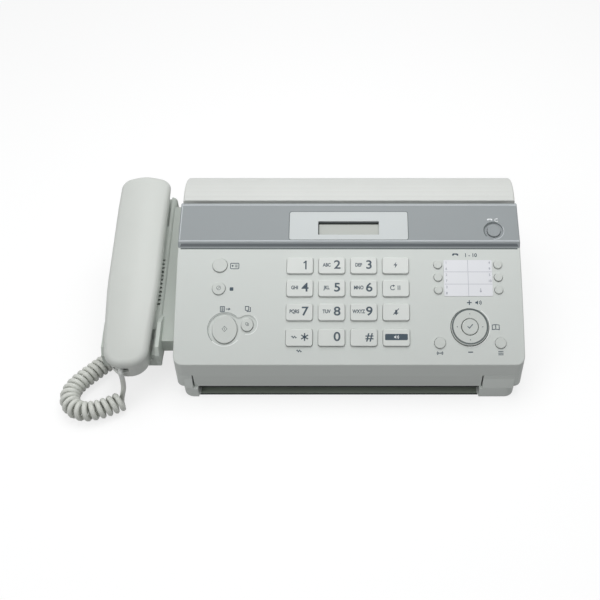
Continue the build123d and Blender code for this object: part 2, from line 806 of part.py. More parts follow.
def make_document_chassis():
    back_y = hump_front_y - 10.8
    under = chassis_thick / cos(radians(seam_slope))
    surface = [
        (hump_front_y - 0.4, hump_front_z - 11.4),
        (back_y, seam_z(back_y, chassis_drop)),
        (27.0, seam_z(27.0, chassis_drop)),
        (14.5, 22.5),
        (6.5, 7.5),
        (6.5, floor_gap + bottom_thick),
    ]
    underside = [
        (8.7, floor_gap + bottom_thick),
        (8.7, 7.0),
        (16.4, 21.0),
        (28.0, seam_z(28.0, chassis_drop + under)),
        (back_y + 1, seam_z(back_y + 1, chassis_drop + under)),
        (hump_front_y - 0.4, hump_front_z - 14.9),
    ]
    with BuildPart() as document_chassis:
        prism(surface + underside, chassis_left, chassis_right)
        # cheeks with the rollers' bearings
        for x in (chassis_left, chassis_right - chassis_wall):
            cheek_low = floor_gap + bottom_thick
            cheek = underside[1:5] + [(back_y + 1, 56), (40, cheek_low), (12, cheek_low)]
            prism(cheek, x, x + chassis_wall)
        for axis in (feed_axis, exit_axis):
            rod(*axis, shaft_radius + running_gap, chassis_left - 1, chassis_right + 1, Mode.SUBTRACT)
        # windows for the rollers and the sensor
        x_middle = (chassis_left + chassis_right) / 2
        x_span = chassis_right - chassis_left - 2 * chassis_wall - 0.4
        for axis, radius in ((feed_axis, feed_roller_radius), (exit_axis, exit_roller_radius)):
            rod(*axis, radius + 0.8, x_middle - x_span / 2, x_middle + x_span / 2, Mode.SUBTRACT)
        with BuildSketch(path_plane(sensor_y, -1, x_middle)):
            Rectangle(x_span, sensor_width + 0.6)
        extrude(amount=-chassis_thick - 3, mode=Mode.SUBTRACT)
    keep("document_chassis", document_chassis)


def toothed_wheel(axis, radius, teeth, x_from, x_to):
    """A spur wheel whose teeth end on its pitch circle."""
    module = 2 * radius / teeth
    with BuildSketch(Plane.YZ.offset(x_from)) as wheel:
        with Locations(axis):
            Circle(radius)
            with PolarLocations(radius, teeth):
                Rectangle(module * 1.9, module * 1.35, mode=Mode.SUBTRACT)
    extrude(wheel.sketch, amount=x_to - x_from)


def make_roller(name, axis, radius):
    with BuildPart() as roller:
        rod(*axis, shaft_radius, chassis_left + 0.3, gear_x[1] + 1)
        sleeve_from = chassis_left + chassis_wall + 1.2
        sleeve_to = chassis_right - chassis_wall - 1.2
        rod(*axis, radius, sleeve_from, sleeve_to)
        toothed_wheel(axis, gear_radius, gear_teeth, *gear_x)
    keep(name, roller)


def make_image_sensor():
    with BuildPart() as image_sensor:
        x_middle = (chassis_left + chassis_right) / 2
        with BuildSketch(path_plane(sensor_y, 0.1, x_middle)):
            Rectangle(chassis_right - chassis_left - 2 * chassis_wall - 1.2, sensor_width)
        extrude(amount=-sensor_depth)
    keep("image_sensor", image_sensor)


# ---------------------------------------------------------------- rear casing, paper and cover

casing_half = half_width - 0.4
casing_rear_wall_z = side_top_z + 3.3


def make_rear_casing():
    outer = [(hump_front_y, side_top_z)]
    outer += hump_points(0)
    outer += [(rear_casing_back, rear_line(rear_casing_back)), (rear_casing_back, side_top_z)]
    inner = [(hump_front_y + skin, side_top_z - 1)]
    inner += [(hump_front_y + skin, on_hump(hump_slope_front - 2, skin)[1])]
    inner += hump_points(skin)[1:]
    inner += [
        (rear_casing_back - skin, rear_line(rear_casing_back - skin, skin)),
        (rear_casing_back - skin, casing_rear_wall_z),
        (rear_casing_back + 1, casing_rear_wall_z),
        (rear_casing_back + 1, side_top_z - 1),
    ]
    with BuildPart() as rear_casing:
        prism(outer, -casing_half, casing_half)
        top = rear_casing.faces().filter_by(lambda f: f.normal_at().Z > 0.4)
        rims = top.edges().filter_by(lambda e: abs(abs(e.center().X) - casing_half) < 0.05)
        fillet(rims, 1.8)
        prism(inner, -casing_half + wall, casing_half - wall, Mode.SUBTRACT)
        for side in (-1, 1):
            x_pair = sorted((side * ear_inner, side * ear_outer))
            arm = [
                (panel_axis[0], panel_axis[1] - panel_ear_radius),
                (hump_front_y + 1, panel_axis[1] - panel_ear_radius - 1),
                (hump_front_y + 1, panel_axis[1] + 0.6),
                (panel_axis[0], panel_axis[1] + 0.6),
            ]
            prism(arm, *x_pair)
            rod(*panel_axis, panel_ear_radius, *x_pair)
            x_pair = sorted((side * (ear_outer - 1), side * (half_width - 1.2)))
            rod(*panel_axis, panel_pin_radius, *x_pair)
        # bearings of the platen roller hang from the casing
        for x in (-platen_half - 3.2, platen_half + 0.8):
            bearing = [
                (platen_axis[0] - 6, platen_axis[1] - 5),
                (platen_axis[0] + 5.4, platen_axis[1] - 5),
                (platen_axis[0] + 5.4, rear_line(platen_axis[0] + 6, skin) + 0.4),
                (platen_axis[0] - 6, on_hump(-22, skin)[1] + 0.4),
            ]
            prism(bearing, x, x + 2.4)
            rod(*platen_axis, shaft_radius + running_gap, x - 1, x + 4, Mode.SUBTRACT)
    keep("rear_casing", rear_casing)


platen_half = 111.0


def make_platen_roller():
    with BuildPart() as platen_roller:
        rod(*platen_axis, shaft_radius, -platen_half - 2.8, platen_half + 12)
        rod(*platen_axis, platen_radius, -platen_half + 1, platen_half - 1)
        toothed_wheel(platen_axis, platen_radius + 1.5, 24, platen_half + 5, platen_half + 11)
    keep("platen_roller", platen_roller)


head_top_z = side_top_z - 0.7
head_bottom_z = side_top_z - 12.3
head_front_y = platen_axis[0] + platen_radius + 0.25
cover_wall_bottom_z = side_top_z - 6.7


def make_thermal_head():
    with BuildPart() as thermal_head:
        block((-platen_half - 1, platen_half + 1), (head_front_y, exit_y - 0.2), (head_bottom_z, head_top_z))
        fins = [x for x in range(-90, 91, 20)]
        for x in fins:
            block((x - 6, x + 6), (head_front_y + 2.4, exit_y), (head_bottom_z - 1, head_bottom_z + 3),
                  Mode.SUBTRACT)
    keep("thermal_head", thermal_head)


def make_roll_cover():
    back_z = rear_line(body_back)
    outer = [
        (cover_split_y, side_top_z),
        (cover_split_y, rear_line(cover_split_y)),
        (body_back, back_z),
        (body_back, cover_low_z),
    ]
    inner = [
        (cover_split_y + skin, side_top_z - 8),
        (cover_split_y + skin, rear_line(cover_split_y + skin, skin)),
        (body_back - wall, rear_line(body_back - wall, skin)),
        (body_back - wall, cover_low_z - 8),
    ]
    with BuildPart() as roll_cover:
        prism(outer, -casing_half, casing_half)
        shoulder = roll_cover.edges().filter_by(Axis.X).sort_by_distance((0, body_back, back_z))[0]
        fillet(shoulder, cover_shoulder_radius)
        top = roll_cover.faces().filter_by(lambda f: f.normal_at().Z > 0.3)
        rims = top.edges().filter_by(lambda e: abs(abs(e.center().X) - casing_half) < 0.05)
        fillet(rims, 1.8)
        prism(inner, -casing_half + wall, casing_half - wall, Mode.SUBTRACT)
        # the wall that carries the thermal head
        block((-platen_half - 1, platen_half + 1), (cover_split_y, cover_split_y + skin),
              (cover_wall_bottom_z, side_top_z + 1))
        # hinge lugs and their pins
        for side in (-1, 1):
            for near, far in ((hinge_x - 9.2, hinge_x - 5.5), (hinge_x + 5.5, hinge_x + 9.2)):
                x_pair = sorted((side * near, side * far))
                rod(*cover_axis, cover_barrel_radius, *x_pair)
                lug = [
                    (cover_axis[0] - 1.2, cover_axis[1]),
                    (cover_axis[0] + cover_barrel_radius, cover_axis[1]),
                    (body_back - 0.4, cover_low_z),
                    (body_back - 0.4, cover_low_z + 8),
                    (cover_axis[0] - 1.2, cover_low_z + 8),
                ]
                prism(lug, *x_pair)
            x_pair = sorted((side * (hinge_x - 7), side * (hinge_x + 7)))
            rod(*cover_axis, cover_pin_radius, *x_pair)
    keep("roll_cover", roll_cover)


hinge_x = 118.0


def make_paper_roll():
    with BuildPart() as paper_roll:
        rod(*paper_roll_axis, paper_roll_radius, -paper_width / 2, paper_width / 2)
        rod(*paper_roll_axis, paper_roll_core, -paper_width / 2, paper_width / 2, Mode.SUBTRACT)
    keep("paper_roll", paper_roll)


def make_main_board():
    with BuildPart() as main_board:
        block((-94, -6), (58, body_back - 11), (main_board_z, main_board_z + board_thick))
        for x in jack_columns:
            block((x - jack_size[0] / 2, x + jack_size[0] / 2), (body_back - 13, body_back - 0.2),
                  (jack_z - jack_size[1] / 2, jack_z + jack_size[1] / 2))
            block((x - 2, x + 2), (body_back - 13, body_back - 11), (main_board_z, jack_z))
            block((x - 4.8, x + 4.8), (body_back - 10, body_back), (jack_z - 3.3, jack_z + 3.3), Mode.SUBTRACT)
        for x, y, width, length, height in board_blocks:
            block((x - width / 2, x + width / 2), (y - length / 2, y + length / 2),
                  (main_board_z + board_thick / 2, main_board_z + board_thick + height))
    keep("main_board", main_board)


board_blocks = (
    (-50, 90, 22, 22, 2.4),
    (-24, 84, 14, 10, 1.8),
    (-78, 80, 12, 24, 1.6),
    (-30, 130, 24, 22, 12),
    (-78, 128, 16, 30, 9),
    (-60, 160, 9, 9, 11),
    (-46, 160, 9, 9, 11),
)


def make_mains_inlet():
    with BuildPart() as mains_inlet:
        x_pair = (mains_x - mains_size[0] / 2 + 0.2, mains_x + mains_size[0] / 2 - 0.2)
        z_pair = (mains_z - mains_size[1] / 2 + 0.2, mains_z + mains_size[1] / 2 - 0.2)
        block(x_pair, (body_back - 13, body_back - 0.3), z_pair)
        block((x_pair[0] + 2, x_pair[1] - 2), (body_back - 10, body_back + 1),
              (z_pair[0] + 1.6, z_pair[1] - 1.6), Mode.SUBTRACT)
        for x in (-3.3, 3.3):
            with BuildSketch(Plane.XZ.offset(-(body_back - 11))) as pin:
                with Locations((mains_x + x, mains_z)):
                    Circle(1.2)
            extrude(pin.sketch, amount=-6)
    keep("mains_inlet", mains_inlet)


# ---------------------------------------------------------------- cradle and handset

def cradle_point(u, w):
    """The (y, z) point u along the cradle's slope and w over its top."""
    slope = radians(cradle_slope)
    return (
        cradle_origin[0] + u * cos(slope) - w * sin(slope),
        cradle_origin[1] + u * sin(slope) + w * cos(slope),
    )


def cradle_top_z(y):
    return cradle_origin[1] + (y - cradle_origin[0]) * tan(radians(cradle_slope))


grille_count = 12
grille_first_u = 35.9
grille_pitch = 4.02
grille_slot = 1.9
grille_x = (-200.5, -162.4)
well_floor = -(cup_drop + rest_gap)
well_skin = 2.6
mouth_well_half = handset_lower_half + 1.2
ear_well_sides = (handset_x - 20.6, handset_x + 20.2)
ear_well_u = 116.0
mouth_well_u = 5.0
lever_x = 4.0
lever_u = (130.5, 141.0)
lever_pivot = (139.8, -7.6)
lever_trunnion = 0.9


def make_cradle():
    void_drop = (cup_drop + rest_gap + well_skin) / cos(radians(cradle_slope))
    outer = [
        (cradle_front_y, cradle_bottom_z),
        (cradle_front_y, cradle_top_z(cradle_front_y)),
        (cradle_back_y, cradle_top_z(cradle_back_y)),
        (cradle_back_y, cradle_bottom_z),
    ]
    inner = [
        (cradle_front_y + 24, cradle_bottom_z - 1),
        (cradle_front_y + 24, cradle_top_z(cradle_front_y + 24) - void_drop),
        (cradle_back_y - wall, cradle_top_z(cradle_back_y - wall) - void_drop),
        (cradle_back_y - wall, cradle_bottom_z - 1),
    ]
    bridge = [
        (bridge_front_y, cradle_origin[1] - bridge_drop),
        (bridge_front_y, cradle_top_z(bridge_front_y)),
        (bridge_back_y, cradle_top_z(bridge_back_y)),
        (bridge_back_y, cradle_origin[1] - bridge_drop),
    ]
    with BuildPart() as cradle:
        prism(outer, cradle_left, cradle_right)
        shoulder = cradle.edges().filter_by(Axis.X).sort_by_distance((-183, cradle_back_y, 82))[0]
        fillet(shoulder, 5)
        sides = cradle.edges().filter_by(Axis.Z).group_by(Axis.Y)[-1]
        fillet(sides, 5)
        prism(inner, cradle_left + wall, cradle_right - wall, Mode.SUBTRACT)
        prism(bridge, cradle_right - 1, -half_width - 0.4)
        pad = [(60, 31), (60, 47), (150, 47), (150, 31)]
        prism(pad, -half_width - 1.4, -half_width)
        # ears beside the lower end of the handset
        ear = [
            cradle_point(-16.4, -12.2),
            cradle_point(-17.2, -4),
            cradle_point(-16, 4),
            cradle_point(-10, ear_height),
            cradle_point(13, ear_height),
            cradle_point(25, -0.5),
            cradle_point(25, -6),
            cradle_point(6, -12.2),
        ]
        prism(ear, ear_left, ear_left + ear_thick)
        prism(ear, ear_right - ear_thick, ear_right)
        # wells for the two cups
        ear_well = [
            cradle_point(ear_well_u, 12),
            cradle_point(ear_well_u, -1),
            cradle_point(ear_well_u + 6, well_floor),
            cradle_point(ear_well_u + 60, well_floor),
            cradle_point(ear_well_u + 60, 12),
        ]
        prism(ear_well, *ear_well_sides, Mode.SUBTRACT)
        mouth_well = [
            cradle_point(-40, 12),
            cradle_point(-40, well_floor),
            cradle_point(mouth_well_u, well_floor),
            cradle_point(mouth_well_u + 6, -1),
            cradle_point(mouth_well_u + 6, 12),
        ]
        prism(mouth_well, handset_x - mouth_well_half, handset_x + mouth_well_half, Mode.SUBTRACT)
        for i in range(grille_count):
            u = grille_first_u + i * grille_pitch
            slot = [
                cradle_point(u - grille_slot / 2, 2),
                cradle_point(u - grille_slot / 2, -30),
                cradle_point(u + grille_slot / 2, -30),
                cradle_point(u + grille_slot / 2, 2),
            ]
            prism(slot, *grille_x, Mode.SUBTRACT)
        # slot and bearing of the hook lever
        lever_slot = [
            cradle_point(lever_u[0] - 1, 2),
            cradle_point(lever_u[0] - 1, -20),
            cradle_point(lever_u[1] + 1.4, -20),
            cradle_point(lever_u[1] + 1.4, 2),
        ]
        prism(lever_slot, handset_x - lever_x - 0.4, handset_x + lever_x + 0.4, Mode.SUBTRACT)
        rod(*cradle_point(*lever_pivot), lever_trunnion + running_gap, handset_x - lever_x - 2,
            handset_x + lever_x + 2, Mode.SUBTRACT)
    keep("cradle", cradle)


def make_hook_lever():
    with BuildPart() as hook_lever:
        blade = [
            cradle_point(lever_u[0], -8.6),
            cradle_point(lever_u[0], well_floor + 0.05),
            cradle_point(lever_pivot[0], -6.5),
            cradle_point(lever_u[1], -7.0),
            cradle_point(lever_u[1], -8.2),
            cradle_point(lever_pivot[0], -8.6),
        ]
        prism(blade, handset_x - lever_x, handset_x + lever_x)
        rod(*cradle_point(*lever_pivot), lever_trunnion, handset_x - lever_x - 1.6, handset_x + lever_x + 1.6)
    keep("hook_lever", hook_lever)


handset_location = Plane(
    origin=(handset_x, *cradle_origin),
    x_dir=(1, 0, 0),
    z_dir=(0, -sin(radians(cradle_slope)), cos(radians(cradle_slope))),
).location * Location((0, 0, 0), (0, 0, handset_lean))


def keep_sloped(name, builder):
    """Keeps a piece that was built flat, with u along Y and w along Z, laid in the cradle."""
    parts_made[name] = builder.part.moved(handset_location)


def plan_face(front_half, middle_half, rear_half, front_u, rear_u):
    """The handset seen from above: a nearly round, narrower lower end and a wide, slightly arched earpiece."""
    corners = [
        ((front_half, front_u), front_corner_share * front_half),
        ((middle_half, grip_u[0]), flank_radius[0]),
        ((middle_half, grip_u[1]), flank_radius[1]),
        ((rear_half, ear_start_u), flank_radius[1]),
        ((rear_half, rear_u - end_arch), rear_corner_share * rear_half),
        ((0, rear_u), end_arch_radius),
    ]
    mirrored = [((-point[0], point[1]), radius) for point, radius in reversed(corners[:-1])]
    outline = corners + mirrored
    with BuildSketch(Plane.XY.offset(-20)) as plan:
        with BuildLine():
            points = [point for point, _ in outline]
            FilletPolyline(*points, radius=[radius for _, radius in outline], close=True)
        make_face()
    return plan.sketch


def crown_solid(profile, half, crown_radius):
    """A back shell's outside: one crowned section carried smoothly along the shell's profile."""
    drop = crown_radius - (crown_radius ** 2 - half ** 2) ** 0.5
    with BuildPart() as crown:
        for u, w in profile:
            with BuildSketch(Plane(origin=(0, u, 0), x_dir=(1, 0, 0), z_dir=(0, -1, 0))):
                with BuildLine():
                    Polyline((half, w - drop), (half, -10), (-half, -10), (-half, w - drop))
                    ThreePointArc((-half, w - drop), (0, w), (half, w - drop))
                make_face()
        loft()
    return crown.part


def back_shell(profile, plan, bottom, rounding):
    """The back shell's solid: its crown cut to its plan above one height, with the top edge rounded."""
    with BuildPart() as shell:
        add(crown_solid(profile, crown_half, crown_radius))
        extrude(plan, amount=60, mode=Mode.INTERSECT)
        block((-50, 50), (-60, 200), (-30, bottom), Mode.SUBTRACT)
        high_edges = shell.edges().filter_by(lambda edge: edge.center().Z > bottom + 0.5)
        fillet(high_edges.filter_by(lambda edge: abs(edge.tangent_at(0.5).Z) < 0.8), rounding)
    return shell.part


def front_shell(profile, plan):
    """The front shell's solid: its side profile cut to its plan."""
    with BuildPart() as shell:
        with BuildSketch(Plane.YZ.offset(-40)) as side:
            with BuildLine():
                Polyline(*profile, close=True)
            make_face()
        extrude(side.sketch, amount=80)
        extrude(plan, amount=60, mode=Mode.INTERSECT)
    return shell.part


handset_ends = (-30.4, 160.6)
handset_middle_half = 22.0
grip_u = (45.0, 96.0)
ear_start_u = 128.0
flank_radius = (220.0, 150.0)
front_corner_share = 0.93
rear_corner_share = 0.45
end_arch = 2.2
end_arch_radius = 60.0
lower_front_half = 16.4
lower_middle_step = 0.5
lower_end_inset = (0.5, 0.6)
back_rounding = 6.0
ear_u = 143.5
mouth_u = -15.5
sound_hole_radius = 0.9
crown_half = 30.0
crown_radius = 46.0
jack_hole_x = -4.0
jack_hole_w = (2.6, 10.2)


def make_handset():
    p = handset_parting
    back_profile = [(-36, 15.0), (-14, 19.4), (20, 22.3), (70, 22.6), (112, 22.0), (140, 20.4), (166, 17.0)]
    back_void = [(u, w - handset_wall) for u, w in back_profile]
    front_profile = [
        (-36, p), (-36, -6), (-2, -6), (6, 1), (14, grip_rise), (116, grip_rise), (122, 1),
        (130, -6), (168, -6), (168, p),
    ]
    front_void = [
        (-36, p + 1), (-36, -4), (-3, -4), (5, 3), (13, grip_rise + 2), (117, grip_rise + 2),
        (123, 3), (131, -4), (168, -4), (168, p + 1),
    ]
    wall_in = handset_wall
    back_halves = (handset_half_width_front, handset_middle_half, handset_half_width)
    back_plan = plan_face(*back_halves, *handset_ends)
    back_inside = plan_face(
        *[half - wall_in for half in back_halves], handset_ends[0] + wall_in, handset_ends[1] - wall_in,
    )
    front_halves = (lower_front_half, handset_lower_half - lower_middle_step, handset_lower_half)
    front_ends = (handset_ends[0] + lower_end_inset[0], handset_ends[1] - lower_end_inset[1])
    front_plan = plan_face(*front_halves, *front_ends)
    front_inside = plan_face(
        *[half - wall_in for half in front_halves], front_ends[0] + wall_in, front_ends[1] - wall_in,
    )
    back_outer = back_shell(back_profile, back_plan, p, back_rounding)
    back_inner = back_shell(back_void, back_inside, p - 1, back_rounding - handset_wall)
    front_outer = front_shell(front_profile, front_plan)
    front_inner = front_shell(front_void, front_inside)
    with BuildPart() as handset_back:
        add(back_outer)
        add(back_inner, mode=Mode.SUBTRACT)
    keep_sloped("handset_back", handset_back)
    with BuildPart() as handset_front:
        add(front_outer)
        add(front_inner, mode=Mode.SUBTRACT)
        block((jack_hole_x - 6.5, jack_hole_x + 6.5), (-40, -18), jack_hole_w, Mode.SUBTRACT)
        # sound holes of both cups
        with BuildSketch(Plane.XY.offset(-8)) as holes:
            for u, radius, count in ((ear_u, 7, 8), (ear_u, 3.2, 4), (mouth_u, 3.6, 5)):
                with Locations((0, u)):
                    with PolarLocations(radius, count):
                        Circle(sound_hole_radius)
        extrude(holes.sketch, amount=5, mode=Mode.SUBTRACT)
    keep_sloped("handset_front", handset_front)
    with BuildPart() as handset_capsules:
        for u, radius, height in ((ear_u, 11.0, 6.0), (mouth_u, 5.0, 4.6)):
            with BuildSketch(Plane.XY.offset(-3.9)) as disc:
                with Locations((0, u)):
                    Circle(radius)
            extrude(disc.sketch, amount=height)
    keep_sloped("handset_capsules", handset_capsules)


# ---------------------------------------------------------------- handset cord

plug_size = (9.8, 9.0, 6.4)
lead_top = (-186.7, -8.0, 31.7)
lead_gap = 0.15
coil_route = [
    cord_entry,
    (-154.0, 66.0, 15.8),
    (-165.0, 64.2, 13.2),
    (-177.0, 58.8, 10.8),
    (-188.5, 51.0, 9.4),
    (-198.5, 42.2, cord_coil_z),
    (-206.5, 33.2, cord_coil_z),
    (-216.0, 22.4, cord_coil_z),
    (-225.5, 11.4, cord_coil_z),
    (-231.4, 3.2, cord_coil_z),
    (-234.6, -5.5, cord_coil_z),
    (-233.6, -14.0, cord_coil_z),
    (-228.6, -21.2, cord_coil_z),
    (-220.5, -25.0, cord_coil_z),
    (-210.5, -24.2, cord_coil_z),
    (-200.5, -20.0, cord_coil_z),
    (-192.4, -15.4, cord_coil_z),
]
lead_route = [
    (-193.4, -18.4, 4.0),
    (-190.9, -16.9, 4.9),
    (-189.3, -13.6, 9.0),
    (-187.9, -10.4, 15.8),
    (-186.8, -8.1, 24.0),
    (lead_top[0], lead_top[1], lead_top[2] - lead_gap),
]


def route_radii(points):
    """The largest arcs that fit a route: 0.45 of the shorter run over the tangent of half the turn."""
    radii = []
    for before, here, after in zip(points, points[1:], points[2:]):
        run_in = Vector(*here) - Vector(*before)
        run_out = Vector(*after) - Vector(*here)
        turn = radians(run_in.get_angle(run_out))
        radii.append(0.45 * min(run_in.length, run_out.length) / tan(turn / 2))
    return radii


def make_cord(name, points, diameter):
    radii = route_radii(points)
    with BuildPart() as cord:
        with BuildLine() as path:
            FilletPolyline(*points, radius=radii)
        with BuildSketch(Plane(origin=path.line @ 0, z_dir=path.line % 0)) as section:
            Circle(diameter / 2)
        sweep(section.sketch, path=path.line)
    length = path.wires()[0].length
    expected = pi * diameter ** 2 / 4 * length
    print(name, "length", round(length, 1), "radii", [round(r, 1) for r in radii],
          "volume share", round(cord.part.volume / expected, 4))
    keep(name, cord)


def make_handset_plug():
    """The plug in the handset, and the short bend of its lead that turns down outside the handset."""
    hole_middle = (jack_hole_w[0] + jack_hole_w[1]) / 2
    top = Location(handset_location.inverse() * Location(lead_top)).position
    hole_out = -31.5
    with BuildPart() as plug:
        block((jack_hole_x - plug_size[0] / 2, jack_hole_x + plug_size[0] / 2), (-27.5, -27.5 + plug_size[1]),
              (hole_middle - plug_size[2] / 2, hole_middle + plug_size[2] / 2))
    body = plug.part.moved(handset_location)
    start = (handset_location * Location((jack_hole_x, -27.6, hole_middle))).position
    corner = (handset_location * Location((jack_hole_x, -33.4, hole_middle))).position
    points = [start, Vector(corner.X, lead_top[1], corner.Z), Vector(*lead_top)]
    with BuildPart() as handset_plug:
        add(body)
        with BuildLine() as path:
            FilletPolyline(*points, radius=2.6)
        with BuildSketch(Plane(origin=path.line @ 0, z_dir=path.line % 0)) as section:
            Circle(cord_wire_diameter / 2)
        sweep(section.sketch, path=path.line)
    keep("handset_plug", handset_plug)


cord_nodes = ("cord_coil", "cord_lead", "handset_plug")
makers = (
    make_lower_cabinet, make_feet, make_panel_housing, make_fascia_band, make_display, make_card,
    make_panel_buttons, make_auto_button, make_navigation, make_panel_board, make_inner_guide,
    make_document_chassis, make_image_sensor, make_rear_casing, make_platen_roller, make_thermal_head,
    make_roll_cover, make_paper_roll, make_main_board, make_mains_inlet, make_cradle, make_hook_lever,
    make_handset, make_handset_plug,
)
for maker in makers:
    maker()
    print(maker.__name__, "done", flush=True)
make_roller("feed_roller", feed_axis, feed_roller_radius)
make_roller("exit_roller", exit_axis, exit_roller_radius)
make_cord("cord_coil", coil_route, cord_coil_diameter)
make_cord("cord_lead", lead_route, cord_wire_diameter)

# the origin goes to the middle of the underside of everything but the cord
boxes = [part.bounding_box() for name, part in parts_made.items() if name not in cord_nodes]
low = [min(tuple(box.min)[i] for box in boxes) for i in range(3)]
high = [max(tuple(box.max)[i] for box in boxes) for i in range(3)]
to_frame = Location((-(low[0] + high[0]) / 2, -(low[1] + high[1]) / 2, -low[2]))
print("size", [round(high[i] - low[i], 2) for i in range(3)], "shift", to_frame.position)
for name, part in parts_made.items():
    placed = part.moved(to_frame)
    placed.label = name
    export_step(placed, f"parts/{name}.step")
print(len(parts_made), "pieces")
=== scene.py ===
import json
import math

import bmesh
import bpy
from mathutils import Matrix, Vector
from mathutils.bvhtree import BVHTree


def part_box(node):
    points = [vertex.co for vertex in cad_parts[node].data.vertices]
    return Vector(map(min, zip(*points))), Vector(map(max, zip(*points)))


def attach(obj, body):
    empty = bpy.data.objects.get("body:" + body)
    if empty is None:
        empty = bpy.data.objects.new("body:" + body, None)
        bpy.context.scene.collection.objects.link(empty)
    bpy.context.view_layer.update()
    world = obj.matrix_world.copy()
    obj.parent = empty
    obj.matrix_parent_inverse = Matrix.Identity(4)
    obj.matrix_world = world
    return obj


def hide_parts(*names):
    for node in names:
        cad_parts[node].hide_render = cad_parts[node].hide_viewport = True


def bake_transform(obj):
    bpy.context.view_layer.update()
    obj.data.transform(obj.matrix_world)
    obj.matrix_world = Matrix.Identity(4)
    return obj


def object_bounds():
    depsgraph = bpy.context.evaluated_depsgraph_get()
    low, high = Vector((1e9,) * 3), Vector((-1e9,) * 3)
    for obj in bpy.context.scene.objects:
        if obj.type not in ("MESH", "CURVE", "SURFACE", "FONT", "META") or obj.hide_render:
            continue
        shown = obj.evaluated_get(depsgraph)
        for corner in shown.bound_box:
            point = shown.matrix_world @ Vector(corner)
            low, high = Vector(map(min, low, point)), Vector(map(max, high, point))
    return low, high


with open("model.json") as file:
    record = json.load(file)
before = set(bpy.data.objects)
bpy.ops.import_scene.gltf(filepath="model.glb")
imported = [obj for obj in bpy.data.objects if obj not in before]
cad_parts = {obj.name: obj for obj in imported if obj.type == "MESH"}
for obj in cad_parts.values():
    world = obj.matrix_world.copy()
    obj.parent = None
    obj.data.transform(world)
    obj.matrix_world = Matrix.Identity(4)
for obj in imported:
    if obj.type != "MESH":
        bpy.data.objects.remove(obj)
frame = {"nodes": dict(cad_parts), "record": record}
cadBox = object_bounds()
nodes = frame["nodes"]
record = frame["record"]

# the row frame's place of the body's middle, the panel's front edge and the table
bodyOrigin = Vector((0.0307814, -0.10541, 0.0))


def millis(x, y, z):
    return bodyOrigin + Vector((x, y, z)) / 1000


# camera and light
cameraValues = dict(
    place=(0.0307814, -0.591575, 0.600838), tilt=45.0, lens=54.0, sensor=36.0, shiftX=-0.08167,
)
lightValues = dict(
    keyPlace=(0.03, 0.10, 0.78), keySize=0.6, keyPower=2.9,
    fillPlace=(-0.9, -0.9, 0.9), fillSize=0.9, fillPower=3.1,
    skyTop=0.62, skyLow=0.22, skyColor=(0.985, 0.995, 1.0, 1),
    floorCamera=0.3, floorBounce=0.3, floorGlow=0.74, floorReach=6.0,
)


def makeCamera(values):
    data = bpy.data.cameras.new("camera")
    data.lens = values["lens"]
    data.sensor_width = values["sensor"]
    data.shift_x = values["shiftX"]
    camera = bpy.data.objects.new("camera", data)
    camera.location = values["place"]
    camera.rotation_euler = (math.radians(values["tilt"]), 0, 0)
    bpy.context.scene.collection.objects.link(camera)
    bpy.context.scene.camera = camera


def makeLamp(name, place, size, power, target=(0.0, 0.0, 0.05)):
    data = bpy.data.lights.new(name, "AREA")
    data.size = size
    data.energy = power
    lamp = bpy.data.objects.new(name, data)
    lamp.location = place
    lamp.rotation_euler = (Vector(target) - Vector(place)).to_track_quat("-Z", "Y").to_euler()
    bpy.context.scene.collection.objects.link(lamp)


def whiteRays(tree):
    # 1 for rays that should see the plain white background
    path = tree.nodes.new("ShaderNodeLightPath")
    first = tree.nodes.new("ShaderNodeMath")
    first.operation = "ADD"
    tree.links.new(path.outputs["Is Camera Ray"], first.inputs[0])
    tree.links.new(path.outputs["Is Glossy Ray"], first.inputs[1])
    second = tree.nodes.new("ShaderNodeMath")
    second.operation = "ADD"
    second.use_clamp = True
    tree.links.new(first.outputs[0], second.inputs[0])
    tree.links.new(path.outputs["Is Transmission Ray"], second.inputs[1])
    return second.outputs[0]


def makeWorld(values):
    world = bpy.data.worlds.new("studio")
    bpy.context.scene.world = world
    world.use_nodes = True
    tree = world.node_tree
    tree.nodes.clear()
    coords = tree.nodes.new("ShaderNodeTexCoord")
    split = tree.nodes.new("ShaderNodeSeparateXYZ")
    tree.links.new(coords.outputs["Generated"], split.inputs[0])
    level = tree.nodes.new("ShaderNodeMapRange")
    level.inputs["To Min"].default_value = values["skyLow"]
    level.inputs["To Max"].default_value = values["skyTop"]
    tree.links.new(split.outputs["Z"], level.inputs["Value"])
    mix = tree.nodes.new("ShaderNodeMix")
    tree.links.new(whiteRays(tree), mix.inputs["Factor"])
    tree.links.new(level.outputs[0], mix.inputs["A"])
    mix.inputs["B"].default_value = 1.0
    background = tree.nodes.new("ShaderNodeBackground")
    background.inputs["Color"].default_value = values["skyColor"]
    tree.links.new(mix.outputs[0], background.inputs["Strength"])
    output = tree.nodes.new("ShaderNodeOutputWorld")
    tree.links.new(background.outputs[0], output.inputs["Surface"])


